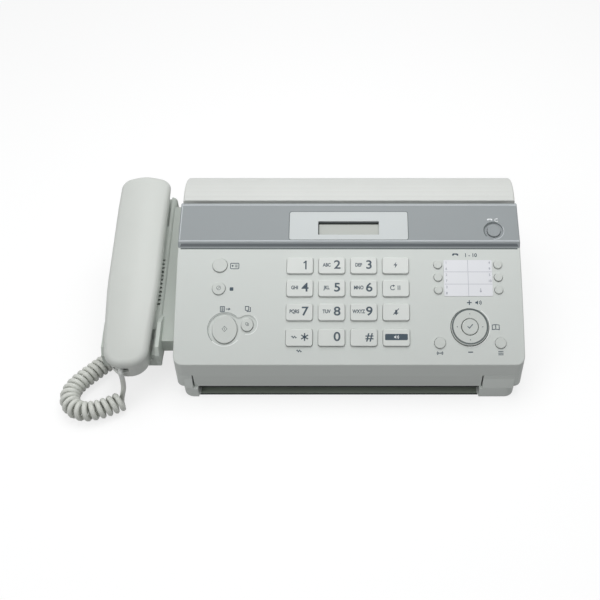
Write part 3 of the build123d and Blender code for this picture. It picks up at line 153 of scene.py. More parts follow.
def makeFloor(values):
    mesh = bpy.data.meshes.new("floor")
    reach = values["floorReach"]
    corners = [(-reach, -reach, 0), (reach, -reach, 0), (reach, reach, 0), (-reach, reach, 0)]
    mesh.from_pydata(corners, [], [(0, 1, 2, 3)])
    floor = bpy.data.objects.new("floor", mesh)
    bpy.context.scene.collection.objects.link(floor)
    material = bpy.data.materials.new("floor_white")
    material.use_nodes = True
    tree = material.node_tree
    tree.nodes.clear()
    seen = whiteRays(tree)
    bounce = tree.nodes.new("ShaderNodeBsdfDiffuse")
    bounce.inputs["Color"].default_value = (values["floorBounce"],) * 3 + (1,)
    shown = tree.nodes.new("ShaderNodeBsdfDiffuse")
    shown.inputs["Color"].default_value = (values["floorCamera"],) * 3 + (1,)
    glow = tree.nodes.new("ShaderNodeEmission")
    glow.inputs["Strength"].default_value = values["floorGlow"]
    total = tree.nodes.new("ShaderNodeAddShader")
    tree.links.new(shown.outputs[0], total.inputs[0])
    tree.links.new(glow.outputs[0], total.inputs[1])
    mix = tree.nodes.new("ShaderNodeMixShader")
    tree.links.new(seen, mix.inputs[0])
    tree.links.new(bounce.outputs[0], mix.inputs[1])
    tree.links.new(total.outputs[0], mix.inputs[2])
    output = tree.nodes.new("ShaderNodeOutputMaterial")
    tree.links.new(mix.outputs[0], output.inputs["Surface"])
    mesh.materials.append(material)


makeCamera(cameraValues)
makeLamp("key_lamp", lightValues["keyPlace"], lightValues["keySize"], lightValues["keyPower"])
makeLamp("fill_lamp", lightValues["fillPlace"], lightValues["fillSize"], lightValues["fillPower"])
makeWorld(lightValues)
makeFloor(lightValues)
bpy.context.scene.view_settings.view_transform = "Standard"
print("camera, light and floor done")


# handset cord: the routes of the part's source, with the coil's last point moved nearer to the lead
coilRoute = [
    (-147, 66, 15.8), (-154, 66, 15.8), (-165, 64.2, 13.2), (-177, 58.8, 10.8), (-188.5, 51, 9.4),
    (-198.5, 42.2, 9.1), (-206.5, 33.2, 9.1), (-216, 22.4, 9.1), (-225.5, 11.4, 9.1), (-231.4, 3.2, 9.1),
    (-234.6, -5.5, 9.1), (-233.6, -14, 9.1), (-228.6, -21.2, 9.1), (-220.5, -25, 9.1), (-210.5, -24.2, 9.1),
    (-200.5, -20, 9.1), (-189.6, -13.8, 9.1),
]
leadRoute = [
    (-193.4, -18.4, 4), (-190.9, -16.9, 4.9), (-189.3, -13.6, 9), (-187.9, -10.4, 15.8), (-186.8, -8.1, 24),
    (-186.7, -8, 31.55),
]
cordValues = dict(
    wire=0.0043, helixRadius=0.0061, helixRadiusLast=0.0064, pitchFirst=0.0045, pitchLast=0.0055,
    pointsPerTurn=16, sides=10, startTurns=0.6, startShare=0.6, endPhase=-1.15, leadFrom=0.0205,
    joinSteps=10, joinLeave=0.55, joinMeet=0.75, blendRun=(0.0084, -0.0168, 0.0210),
)


def linkPiece(piece, material=None):
    bpy.context.scene.collection.objects.link(piece)
    if material is not None:
        piece.data.materials.append(material)
    return piece


def readRoute(name, points):
    curve = bpy.data.curves.new(name, "CURVE")
    curve.dimensions = "3D"
    curve.resolution_u = 24
    spline = curve.splines.new("NURBS")
    spline.points.add(len(points) - 1)
    for point, place in zip(spline.points, points):
        point.co = (*millis(*place), 1)
    spline.order_u = 3
    spline.use_endpoint_u = True
    route = bpy.data.objects.new(name, curve)
    bpy.context.scene.collection.objects.link(route)
    mesh = bpy.data.meshes.new_from_object(route)
    line = [v.co.copy() for v in mesh.vertices]
    bpy.data.objects.remove(route)
    bpy.data.curves.remove(curve)
    bpy.data.meshes.remove(mesh)
    return line


def lineLengths(line):
    total = [0.0]
    for a, b in zip(line, line[1:]):
        total.append(total[-1] + (b - a).length)
    return total


def pointAt(line, lengths, s):
    for i in range(1, len(line)):
        if s <= lengths[i] or i == len(line) - 1:
            part = (s - lengths[i - 1]) / max(lengths[i] - lengths[i - 1], 1e-9)
            return line[i - 1].lerp(line[i], part), (line[i] - line[i - 1]).normalized()


def smooth(x):
    x = min(max(x, 0.0), 1.0)
    return x * x * (3 - 2 * x)


def helixPoints(line, values):
    # turns around the route, counted back from its end so that the last turn meets the lead
    lengths = lineLengths(line)
    length = lengths[-1]
    phase = 0.0
    s = 0.0
    steps = []
    while s < length:
        share = s / length
        pitch = values["pitchFirst"] + (values["pitchLast"] - values["pitchFirst"]) * smooth(share)
        steps.append((s, phase))
        phase += math.tau / values["pointsPerTurn"]
        s += pitch / values["pointsPerTurn"]
    shift = values["endPhase"] - steps[-1][1]
    points = []
    for s, phase in steps:
        centre, along = pointAt(line, lengths, s)
        side = Vector((0, 0, 1)).cross(along).normalized()
        up = along.cross(side).normalized()
        turn = phase / math.tau
        growth = values["helixRadiusLast"] - values["helixRadius"]
        radius = values["helixRadius"] + growth * smooth(s / length)
        radius *= values["startShare"] + (1 - values["startShare"]) * smooth(turn / values["startTurns"])
        angle = phase + shift
        points.append(centre + (side * math.cos(angle) + up * math.sin(angle)) * radius)
    return points


def tubeMesh(name, path, radius, sides):
    rings = []
    side = None
    for i, place in enumerate(path):
        ahead = path[min(i + 1, len(path) - 1)]
        behind = path[max(i - 1, 0)]
        along = (ahead - behind).normalized()
        if side is None:
            side = along.orthogonal().normalized()
        side = (side - along * side.dot(along)).normalized()
        up = along.cross(side)
        ring = []
        for j in range(sides):
            a = math.tau * j / sides
            ring.append(place + (side * math.cos(a) + up * math.sin(a)) * radius)
        rings.append(ring)
    verts = [v for ring in rings for v in ring]
    faces = []
    for i in range(len(rings) - 1):
        for j in range(sides):
            k = (j + 1) % sides
            faces.append((i * sides + j, i * sides + k, (i + 1) * sides + k, (i + 1) * sides + j))
    faces.append(tuple(reversed(range(sides))))
    last = (len(rings) - 1) * sides
    faces.append(tuple(last + j for j in range(sides)))
    mesh = bpy.data.meshes.new(name)
    mesh.from_pydata(verts, [], faces)
    mesh.polygons.foreach_set("use_smooth", [True] * len(mesh.polygons))
    mesh.update()
    return mesh


def makeCord(values):
    coil = helixPoints(readRoute("coil_route", coilRoute), values)
    lead = [place for place in readRoute("lead_route", leadRoute) if place.z > values["leadFrom"]]
    # a short smooth run joins the last turn to the lead
    start, end = coil[-1], lead[0]
    leave = (coil[-1] - coil[-2]).normalized()
    meet = (lead[1] - lead[0]).normalized()
    gap = (end - start).length
    joint = []
    for i in range(1, values["joinSteps"]):
        t = i / values["joinSteps"]
        a = start + leave * gap * values["joinLeave"] * t
        b = end - meet * gap * values["joinMeet"] * (1 - t)
        joint.append(a.lerp(b, smooth(t)))
    path = coil + joint + lead
    mesh = tubeMesh("handset_cord", path, values["wire"] / 2, values["sides"])
    cord = linkPiece(bpy.data.objects.new("handset_cord", mesh))
    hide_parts("cord_coil", "cord_lead")
    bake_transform(cord)
    return cord


cord = makeCord(cordValues)
print("cord done")

# surface places: a line straight down meets a node's mesh
trees = {}


def dropOn(name, x, y, high=0.2):
    if name not in trees:
        mesh = nodes[name].data
        trees[name] = BVHTree.FromPolygons([v.co for v in mesh.vertices], [p.vertices for p in mesh.polygons])
    start = millis(x, y, 0)
    start.z = high
    place, normal, _, _ = trees[name].ray_cast(start, Vector((0, 0, -1)))
    if place is None:
        raise ValueError(f"{name} has no surface at {x:.1f}, {y:.1f}")
    if normal.z < 0:
        normal = -normal
    return place, normal


surfaceValues = dict(cellShare=1.6, grainDetail=2.0, toneDetail=3.0, edgeFrom=0.51, edgeTo=0.58)


def groupSocket(tree, name, way, kind="NodeSocketFloat", value=None):
    socket = tree.interface.new_socket(name=name, in_out=way, socket_type=kind)
    if value is not None:
        socket.default_value = value


# grain, tone and worn edges that all the moulded pieces share
def makeSurfaceGroup(values):
    tree = bpy.data.node_groups.new("moulded_surface", "ShaderNodeTree")
    for name, value in (("Grain Size", 1.0), ("Tone Size", 1.0)):
        groupSocket(tree, name, "INPUT", value=value)
    for name in ("Height", "Tone", "Edge"):
        groupSocket(tree, name, "OUTPUT")
    inside = tree.nodes.new("NodeGroupInput")
    outside = tree.nodes.new("NodeGroupOutput")
    coords = tree.nodes.new("ShaderNodeTexCoord")

    def scaled(socket, factor):
        node = tree.nodes.new("ShaderNodeMath")
        node.operation = "DIVIDE"
        node.inputs[0].default_value = factor
        tree.links.new(inside.outputs[socket], node.inputs[1])
        return node.outputs[0]

    def noise(scale, detail):
        node = tree.nodes.new("ShaderNodeTexNoise")
        node.inputs["Detail"].default_value = detail
        tree.links.new(coords.outputs["Object"], node.inputs["Vector"])
        tree.links.new(scale, node.inputs["Scale"])
        return node.outputs["Fac"]

    fine = noise(scaled("Grain Size", 1.0), values["grainDetail"])
    cells = tree.nodes.new("ShaderNodeTexVoronoi")
    tree.links.new(coords.outputs["Object"], cells.inputs["Vector"])
    tree.links.new(scaled("Grain Size", values["cellShare"]), cells.inputs["Scale"])
    height = tree.nodes.new("ShaderNodeMath")
    height.operation = "ADD"
    tree.links.new(fine, height.inputs[0])
    tree.links.new(cells.outputs["Distance"], height.inputs[1])
    tree.links.new(height.outputs[0], outside.inputs["Height"])
    tree.links.new(noise(scaled("Tone Size", 1.0), values["toneDetail"]), outside.inputs["Tone"])
    geometry = tree.nodes.new("ShaderNodeNewGeometry")
    edge = tree.nodes.new("ShaderNodeMapRange")
    edge.inputs["From Min"].default_value = values["edgeFrom"]
    edge.inputs["From Max"].default_value = values["edgeTo"]
    tree.links.new(geometry.outputs["Pointiness"], edge.inputs["Value"])
    tree.links.new(edge.outputs[0], outside.inputs["Edge"])
    return tree


surfaceGroup = makeSurfaceGroup(surfaceValues)


# colour, roughness, grain size and bump in metres, share of tone; wear scales the colour at edges
toneSize = 0.045
roughSpread = 0.05
materialValues = dict(
    shell=dict(color=(0.650, 0.680, 0.655), rough=0.50, grain=0.0006, bump=0.00004, tone=0.05),
    panel=dict(wear=1.0, color=(0.650, 0.680, 0.655), rough=0.50, grain=0.0006, bump=0.00004, tone=0.05),
    hump=dict(color=(0.655, 0.668, 0.645), rough=0.46, grain=0.0006, bump=0.00004, tone=0.04),
    handset=dict(color=(0.635, 0.657, 0.627), rough=0.38, grain=0.0008, bump=0.00002, tone=0.04),
    band=dict(
        wear=1.0, color=(0.323, 0.348, 0.358), specular=0.2, rough=0.5, grain=0.0004, bump=0.00002, tone=0.04,
    ),
    plate=dict(color=(0.60, 0.63, 0.632), specular=0.15, rough=0.55, grain=0.0003, bump=0.00001, tone=0.02),
    lcd=dict(color=(0.409, 0.428, 0.397), rough=0.16, grain=0.0004, bump=0.000003, tone=0.03),
    keys=dict(color=(0.705, 0.730, 0.705), rough=0.34, grain=0.0005, bump=0.00001, tone=0.03),
    buttons=dict(color=(0.62, 0.648, 0.620), rough=0.34, grain=0.0005, bump=0.00001, tone=0.03),
    card=dict(color=(0.74, 0.75, 0.78), rough=0.25, grain=0.0005, bump=0.000006, tone=0.03),
    paper=dict(color=(0.84, 0.84, 0.83), rough=0.55, grain=0.0004, bump=0.00001, tone=0.04),
    board=dict(color=(0.03, 0.16, 0.07), rough=0.3, grain=0.0012, bump=0.00002, tone=0.25),
    rubber=dict(color=(0.045, 0.045, 0.045), rough=0.8, grain=0.0006, bump=0.00004, tone=0.2),
    dark=dict(color=(0.045, 0.045, 0.05), rough=0.5, grain=0.0006, bump=0.00003, tone=0.15),
    head=dict(color=(0.62, 0.62, 0.64), rough=0.32, grain=0.0005, bump=0.00001, tone=0.08, metal=1.0),
    cord=dict(color=(0.680, 0.695, 0.650), rough=0.36, grain=0.0009, bump=0.00001, tone=0.05),
    plug=dict(color=(0.72, 0.74, 0.72), rough=0.15, grain=0.0006, bump=0.000004, tone=0.03),
    ink=dict(color=(0.050, 0.075, 0.098), rough=0.5, grain=0.0004, bump=0.000004, tone=0.06),
    # painted highlight: a lighter colour for lines along the band's edges and round the auto button's dish
    bandHighlight=dict(color=(0.50, 0.53, 0.55), rough=0.35, grain=0.0004, bump=0.00001, tone=0.04),
    shadow=dict(color=(0.03, 0.036, 0.034), rough=0.7, grain=0.0005, bump=0.00002, tone=0.2),
    lightInk=dict(color=(0.78, 0.8, 0.81), rough=0.5, grain=0.0004, bump=0.000004, tone=0.03),
    # dark colour for the joint round the display's plate, and painted shade in the ring's groove, the band's
    # seam and the auto button's dish
    darkJointAndShade=dict(color=(0.11, 0.13, 0.13), rough=0.6, grain=0.0005, bump=0.00001, tone=0.15),
    gridLine=dict(color=(0.36, 0.37, 0.42), rough=0.5, grain=0.0004, bump=0.000004, tone=0.06),
    steel=dict(color=(0.55, 0.55, 0.56), rough=0.35, grain=0.0006, bump=0.00001, tone=0.08, metal=1.0),
    brass=dict(color=(0.72, 0.55, 0.25), rough=0.3, grain=0.0005, bump=0.00001, tone=0.08, metal=1.0),
    # painted shade: a dark colour for the front slot's floor, which lies in shade
    slotShade=dict(color=(0.20, 0.23, 0.19), rough=0.8, grain=0.0006, bump=0.00002, tone=0.2),
    # cradle: painted shade, the shell's colour darkened for the cradle, which lies in the handset's shade
    cradle=dict(color=(0.53, 0.57, 0.53), rough=0.5, grain=0.0006, bump=0.00004, tone=0.05),
    bandShade=dict(color=(0.12, 0.135, 0.145), rough=0.4, grain=0.0004, bump=0.00001, tone=0.04),
    # painted shade: a darker line on the upper edges of the start button's dish
    rimShade=dict(color=(0.25, 0.28, 0.27), rough=0.6, grain=0.0005, bump=0.00001, tone=0.1),
    # painted highlight: a light line on the lit lower edges round the ring and the dished buttons
    edgeHighlight=dict(color=(0.84, 0.86, 0.85), rough=0.3, grain=0.0005, bump=0.00001, tone=0.03),
    cardboard=dict(color=(0.42, 0.33, 0.23), rough=0.8, grain=0.0008, bump=0.00005, tone=0.2),
    inkSoft=dict(color=(0.105, 0.128, 0.135), rough=0.5, grain=0.0004, bump=0.000004, tone=0.06),
)


def makePlastic(name, values):
    material = bpy.data.materials.new(name)
    material.use_nodes = True
    tree = material.node_tree
    shader = tree.nodes["Principled BSDF"]
    surface = tree.nodes.new("ShaderNodeGroup")
    surface.node_tree = surfaceGroup
    surface.inputs["Grain Size"].default_value = values["grain"]
    surface.inputs["Tone Size"].default_value = toneSize

    def mixColor(factor, a, b):
        node = tree.nodes.new("ShaderNodeMix")
        node.data_type = "RGBA"
        tree.links.new(factor, node.inputs["Factor"])
        for key, value in (("A", a), ("B", b)):
            socket = [s for s in node.inputs if s.name == key and s.type == "RGBA"][0]
            if isinstance(value, tuple):
                socket.default_value = (*value, 1)
            else:
                tree.links.new(value, socket)
        return [s for s in node.outputs if s.type == "RGBA"][0]

    low = tuple(c * (1 - values["tone"]) for c in values["color"])
    high = tuple(min(c * (1 + values["tone"]), 1) for c in values["color"])
    body = mixColor(surface.outputs["Tone"], low, high)
    worn = tuple(min(c * values.get("wear", 1.05), 1) for c in values["color"])
    tree.links.new(mixColor(surface.outputs["Edge"], body, worn), shader.inputs["Base Color"])
    rough = tree.nodes.new("ShaderNodeMapRange")
    rough.inputs["To Min"].default_value = values["rough"] - roughSpread
    rough.inputs["To Max"].default_value = values["rough"] + roughSpread
    tree.links.new(surface.outputs["Tone"], rough.inputs["Value"])
    tree.links.new(rough.outputs[0], shader.inputs["Roughness"])
    bump = tree.nodes.new("ShaderNodeBump")
    bump.inputs["Distance"].default_value = values["bump"]
    tree.links.new(surface.outputs["Height"], bump.inputs["Height"])
    tree.links.new(bump.outputs[0], shader.inputs["Normal"])
    shader.inputs["Metallic"].default_value = values.get("metal", 0.0)
    shader.inputs["Specular IOR Level"].default_value = values.get("specular", 0.4)
    return material


materials = {name: makePlastic(name, values) for name, values in materialValues.items()}
looks = dict(
    shell=["lower_cabinet"], panel=["panel_housing"], cradle=["cradle", "hook_lever"],
    hump=["rear_casing", "roll_cover"],
    handset=["handset_back", "handset_front"],
    band=["fascia_band", "auto_button"], plate=["lcd_plate"], lcd=["lcd_module"],
    card=["directory_card"], paper=["paper_roll"], board=["panel_board", "main_board"],
    rubber=["feet", "feed_roller", "exit_roller", "platen_roller"],
    dark=["image_sensor", "document_chassis", "inner_guide", "mains_inlet", "handset_capsules", "nav_gimbal"],
    head=["thermal_head"], plug=["handset_plug"], cord=["cord_coil", "cord_lead"],
)
looks["keys"] = [n for n in nodes if n.startswith("key_")]
looks["buttons"] = [n for n in nodes if n.endswith("_button") or n.startswith("one_touch")] + ["nav_ring"]
looks["buttons"].remove("auto_button")
for look, names in looks.items():
    for name in names:
        slots = nodes[name].data.materials
        slots.clear()
        slots.append(materials[look])
cord.data.materials.append(materials["cord"])
print("materials done")


def surfaceFrame(name, x, y, turn=0.0):
    place, normal = dropOn(name, x, y)
    across = (Vector((1, 0, 0)) - normal * normal.x).normalized()
    up = normal.cross(across)
    matrix = Matrix((across, up, normal)).transposed().to_4x4()
    return Matrix.Translation(place) @ matrix @ Matrix.Rotation(math.radians(turn), 4, "Z")


def meshPiece(mesh, name, material):
    data = bpy.data.meshes.new(name)
    mesh.to_mesh(data)
    mesh.free()
    return linkPiece(bpy.data.objects.new(name, data), materials[material])


def finishMesh(mesh, name, body, material):
    piece = meshPiece(mesh, name, material)
    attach(piece, body)


# thin printed marks, drawn in millimetres on a surface
class MarkPen:
    capShare = 0.73  # height of a capital over the font's size
    sharpest = 0.4  # keeps the corners of a stroke short

    def __init__(self, thick=0.06, sink=0.04):
        self.mesh = bmesh.new()
        self.thick = thick
        self.sink = sink

    def layer(self, matrix, points, height):
        return [self.mesh.verts.new(matrix @ (Vector((p[0], p[1], height)) / 1000)) for p in points]

    def addPrism(self, matrix, rings):
        # rings are pairs of left and right points along a stroke
        top = [self.layer(matrix, pair, self.thick) for pair in rings]
        low = [self.layer(matrix, pair, -self.sink) for pair in rings]
        return top, low

    def stroke(self, matrix, points, width, closed=False):
        count = len(points)
        rings = []
        for i, point in enumerate(points):
            here = Vector(point)
            before = Vector(points[i - 1]) if i > 0 or closed else None
            after = Vector(points[(i + 1) % count]) if i < count - 1 or closed else None
            ways = [(here - before).normalized()] if before is not None else []
            ways += [(after - here).normalized()] if after is not None else []
            normals = [Vector((-w.y, w.x)) for w in ways]
            total = sum(normals, Vector((0, 0))).normalized()
            reach = width / 2 / max(total.dot(normals[0]), self.sharpest)
            rings.append((here + total * reach, here - total * reach))
        top, low = self.addPrism(matrix, rings)
        new = self.mesh.faces.new
        for i in range(count if closed else count - 1):
            k = (i + 1) % count
            new((top[i][0], top[i][1], top[k][1], top[k][0]))
            new((low[i][0], low[k][0], low[k][1], low[i][1]))
            new((top[i][0], top[k][0], low[k][0], low[i][0]))
            new((top[i][1], low[i][1], low[k][1], top[k][1]))
        if not closed:
            for i in (0, count - 1):
                new((top[i][0], low[i][0], low[i][1], top[i][1]))

    def fill(self, matrix, points):
        top = self.layer(matrix, points, self.thick)
        low = self.layer(matrix, points, -self.sink)
        self.mesh.faces.new(top)
        self.mesh.faces.new(list(reversed(low)))
        for i in range(len(points)):
            k = (i + 1) % len(points)
            self.mesh.faces.new((top[i], low[i], low[k], top[k]))

    def text(self, matrix, words, height, bold=0.0, stretch=1.0):
        data = bpy.data.curves.new("words", "FONT")
        data.body = words
        data.align_x = "CENTER"
        data.align_y = "CENTER"
        data.size = height / self.capShare
        data.offset = bold
        data.extrude = (self.thick + self.sink) / 2
        thing = bpy.data.objects.new("words", data)
        bpy.context.scene.collection.objects.link(thing)
        mesh = bpy.data.meshes.new_from_object(thing)
        place = matrix @ Matrix.Scale(0.001, 4) @ Matrix.Translation((0, 0, (self.thick - self.sink) / 2))
        mesh.transform(place @ Matrix.Diagonal((stretch, 1, 1, 1)))
        self.mesh.from_mesh(mesh)
        bpy.data.objects.remove(thing)
        bpy.data.curves.remove(data)
        bpy.data.meshes.remove(mesh)

    def finish(self, name, body, material):
        bmesh.ops.recalc_face_normals(self.mesh, faces=self.mesh.faces)
        finishMesh(self.mesh, name, body, material)


def circlePoints(radius, count=28, centre=(0, 0), start=0.0, turn=360.0, squeeze=1.0):
    whole = abs(turn) >= 360
    steps = count if whole else count - 1
    angles = [math.radians(start + turn * i / steps) for i in range(count)]
    return [(centre[0] + radius * math.cos(a), centre[1] + radius * squeeze * math.sin(a)) for a in angles]


def roundedBox(width, height, corner, count=6):
    points = []
    for cx, cy, start in ((1, 1, 0), (-1, 1, 90), (-1, -1, 180), (1, -1, 270)):
        centre = (cx * (width / 2 - corner), cy * (height / 2 - corner))
        points += circlePoints(corner, count, centre, start, 90)
    return points


def shifted(points, dx, dy, scale=1.0):
    return [(x * scale + dx, y * scale + dy) for x, y in points]


def strokeSign(*points, closed=False):
    return ("line", list(points), closed)


def areaSign(*points):
    return ("fill", list(points), True)


# generic signs, drawn within about 4 mm
signs = dict(
    handset=[areaSign(
        (-2.2, 0.9), (-1.5, 1.5), (1.5, 1.5), (2.2, 0.9), (2.2, -0.2),
        (1.1, -0.2), (0.9, 0.5), (-0.9, 0.5), (-1.1, -0.2), (-2.2, -0.2),
    )],
    lines=[strokeSign((-1.9, y), (1.9, y)) for y in (1.2, 0, -1.2)],
    card=[
        strokeSign(*roundedBox(5.2, 3.6, 0.5, 3), closed=True), areaSign(*circlePoints(0.6, 10, (-1.3, 0.1))),
        strokeSign((0.1, 0.6), (1.8, 0.6)), strokeSign((0.1, -0.5), (1.8, -0.5)),
    ],
    square=[areaSign(*roundedBox(2.7, 2.7, 0.4, 3))],
    page=[
        strokeSign((-1.5, -1.9), (-1.5, 1.9), (1.5, 1.9), (1.5, -1.9), closed=True),
        *[strokeSign((-0.7, y), (0.8, y)) for y in (0.9, 0, -0.9)],
    ],
    arrow=[strokeSign((-1.6, 0), (0.6, 0)), areaSign((0.5, -1.1), (0.5, 1.1), (1.9, 0))],
    sheets=[
        strokeSign((-1.8, -0.9), (-1.8, 1.9), (0.6, 1.9), (0.6, -0.9), closed=True),
        strokeSign((1.3, 1.1), (1.8, 1.1), (1.8, -1.8), (-0.6, -1.8), (-0.6, -1.4)),
    ],
    wave=[strokeSign(*[(-2.0 + 0.25 * i, 0.8 * math.sin(i * math.pi / 4)) for i in range(17)])],
    speaker=[
        areaSign((-2.0, -0.6), (-2.0, 0.6), (-1.2, 0.6), (-0.2, 1.5), (-0.2, -1.5), (-1.2, -0.6)),
        strokeSign(*circlePoints(1.1, 8, (0, 0), -50, 100)),
        strokeSign(*circlePoints(2.0, 10, (0, 0), -50, 100)),
    ],
    book=[
        strokeSign((0, -1.4), (-2.2, -1.7), (-2.2, 1.3), (0, 1.6), (2.2, 1.3), (2.2, -1.7), closed=True),
        strokeSign((0, -1.2), (0, 1.5)),
    ],
    spread=[
        areaSign(*circlePoints(0.55, 10)),
        *[strokeSign(*circlePoints(r, 8, (0, 0), a, 70)) for r in (1.3, 2.1) for a in (-35, 145)],
    ],
    bolt=[areaSign((0.5, 2.2), (-1.3, -0.2), (-0.1, -0.2), (-0.5, -2.2), (1.3, 0.4), (0.1, 0.4))],
    again=[strokeSign(*circlePoints(1.5, 16, (0, 0), 60, 270)), areaSign((0.2, 2.1), (0.2, 0.5), (1.6, 1.4))],
    pause=[strokeSign((x, -1.5), (x, 1.5)) for x in (-0.6, 0.6)],
    mute=[
        areaSign(*roundedBox(1.5, 2.6, 0.7, 4)), strokeSign(*circlePoints(1.5, 10, (0, -0.1), 200, 140)),
        strokeSign((0, -1.8), (0, -2.5)),
    ],
    slash=[strokeSign((-2.0, -2.2), (2.0, 2.2))],
    check=[strokeSign((-1.4, 0.1), (-0.4, -1.0), (1.5, 1.2))],
    start=[
        strokeSign((0, 2.1), (-1.9, 0), (0, -2.1), (1.9, 0), closed=True),
        strokeSign((0, 0.95), (0, -0.95)),
    ],
    stop=[strokeSign(*circlePoints(1.7, 18), closed=True), strokeSign((-1.0, -1.0), (1.0, 1.0))],
    down=[strokeSign((0, 1.7), (0, -0.6)), areaSign((-1.1, -0.5), (1.1, -0.5), (0, -1.9))],
    plus=[
        strokeSign((-1.7, 0), (-0.26, 0)), strokeSign((0.26, 0), (1.7, 0)),
        strokeSign((0, -1.7), (0, 1.7)),
    ],
    minus=[strokeSign((-1.7, 0), (1.7, 0))],
    tick=[areaSign((-0.6, -0.45), (0.6, -0.45), (0, 0.55))],
)


def drawSign(pen, matrix, name, scale=1.0, width=0.45, dx=0.0):
    for kind, points, closed in signs[name]:
        places = shifted(points, dx, 0, scale)
        if kind == "fill":
            pen.fill(matrix, places)
        else:
            pen.stroke(matrix, places, width, closed)


# key caps: digits with the usual letter groups, and signs on the function keys
keyTexts = dict(
    key_1=("1", ""), key_2=("2", "ABC"), key_3=("3", "DEF"), key_4=("4", "GHI"), key_5=("5", "JKL"),
    key_6=("6", "MNO"), key_7=("7", "PQRS"), key_8=("8", "TUV"), key_9=("9", "WXYZ"), key_0=("0", ""),
    key_star=("*", ""), key_hash=("#", ""),
)
keySigns = dict(
    key_flash=[("bolt", 1.0, 0)], key_redial=[("again", 1.0, -2.6), ("pause", 1.0, 2.6)],
    key_mute=[("mute", 0.95, 0), ("slash", 0.95, 0)],
)
keyValues = dict(
    digitHeight=7.7, digitBold=0.17, digitStretch=1.12, digitX=4.6,
    letterHeight=3.1, letterBold=0.14, letterX=-4.2, letterStretch=0.8,
    signWidth=0.62, signScale=1.25, hashShare=0.9, armRadius=3.3, armWidth=1.0,
    stemX=0.4, stemWidth=1.2, flagX=-1.6, flagDrop=2.1, plateSize=(18.8, 5.2, 0.9),
)

clearX = -66  # the plain stretch of the panel between the start button and the keys
topDepth = 0.0007  # how far down a cap's rounded edge still counts as its top


def middleOf(name):
    # the middle of a cap's top, in the body's millimetres
    low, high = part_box(name)
    middle = ((Vector(low) + Vector(high)) / 2 - bodyOrigin) * 1000
    _, normal = dropOn("panel_housing", clearX, middle.y)
    corners = [v.co for v in nodes[name].data.vertices]
    reach = max(c.dot(normal) for c in corners)
    top = [(c - bodyOrigin) * 1000 for c in corners if c.dot(normal) > reach - topDepth]
    return tuple((min(c[i] for c in top) + max(c[i] for c in top)) / 2 for i in (0, 1))


def markKeys(values):
    for name, (digit, letters) in keyTexts.items():
        x, y = middleOf(name)
        pen = MarkPen()
        at = surfaceFrame(name, x + values["digitX"], y)
        if digit == "*":
            for angle in (90, 30, -30):
                arm = circlePoints(values["armRadius"], 2, (0, 0), angle, 180)
                pen.stroke(at, [arm[0], (0, 0)], values["armWidth"])
                pen.stroke(at, [(0, 0), arm[1]], values["armWidth"])
            place = surfaceFrame(name, x + values["letterX"], y)
            drawSign(pen, place, "wave", 1.0, values["signWidth"])
        elif digit == "1":
            half = values["digitHeight"] / 2
            stem = values["stemX"]
            pen.stroke(at, [(stem, half), (stem, -half)], values["stemWidth"])
            flag = (values["flagX"], half - values["flagDrop"])
            pen.stroke(at, [(stem + 0.1, half - 0.5), flag], values["armWidth"])
        else:
            height = values["digitHeight"] * (values["hashShare"] if digit == "#" else 1)
            pen.text(at, digit, height, values["digitBold"], values["digitStretch"])
        if letters:
            place = surfaceFrame(name, x + values["letterX"], y)
            pen.text(place, letters, values["letterHeight"], values["letterBold"], values["letterStretch"])
        pen.finish(name + "_mark", name, "ink")
    for name, parts in keySigns.items():
        pen = MarkPen()
        at = surfaceFrame(name, *middleOf(name))
        for sign, scale, dx in parts:
            drawSign(pen, at, sign, scale * values["signScale"], values["signWidth"], dx)
        pen.finish(name + "_mark", name, "ink")
    at = surfaceFrame("key_monitor", *middleOf("key_monitor"))
    plate = MarkPen(0.05, 0.04)
    plate.fill(at, roundedBox(*values["plateSize"]))
    plate.finish("key_monitor_plate", "key_monitor", "ink")
    pen = MarkPen(0.09, -0.03)
    drawSign(pen, at, "speaker", 0.95, 0.45)
    pen.finish("key_monitor_mark", "key_monitor", "lightInk")


markKeys(keyValues)
print("key marks done")

# signs on the panel: x and y in the body's millimetres, sign, scale
panelSigns = [
    (-96.5, 71.5, "card", 1.15), (-98.5, 53.9, "square", 0.95), (-105.6, 39.1, "page", 0.95),
    (-101.0, 39.1, "arrow", 0.95), (-84.3, 39.1, "sheets", 1.0), (-41.3, 9.5, "wave", 0.85),
    (100.5, 43.8, "plus", 1.0), (108.0, 43.8, "speaker", 1.05), (100.4, 8.7, "minus", 1.0),
    (121.8, 26.2, "book", 1.1), (75.1, 8.0, "spread", 0.95), (125.4, 8.0, "lines", 0.95),
    (90.0, 79.9, "handset", 1.0),
]
# signs on the buttons: sign, scale, stroke, material
buttonSigns = dict(
    start_button=("start", 1.1, 0.32, "inkSoft"), copy_button=("sheets", 0.65, 0.32, "inkSoft"),
    stop_button=("stop", 1.0, 0.32, "inkSoft"), set_button=("check", 1.5, 0.65, "ink"),
)
panelValues = dict(
    signScale=1.18, signWidth=0.6, boldWidth=0.85, rangePlace=(103.0, 79.9), rangeHeight=3.3,
    bandPlace=(123.8, 109.3), bandShift=2.9, bandWidth=0.5, tickX=10.6, tickY=9.3, tickWidth=0.3,
)


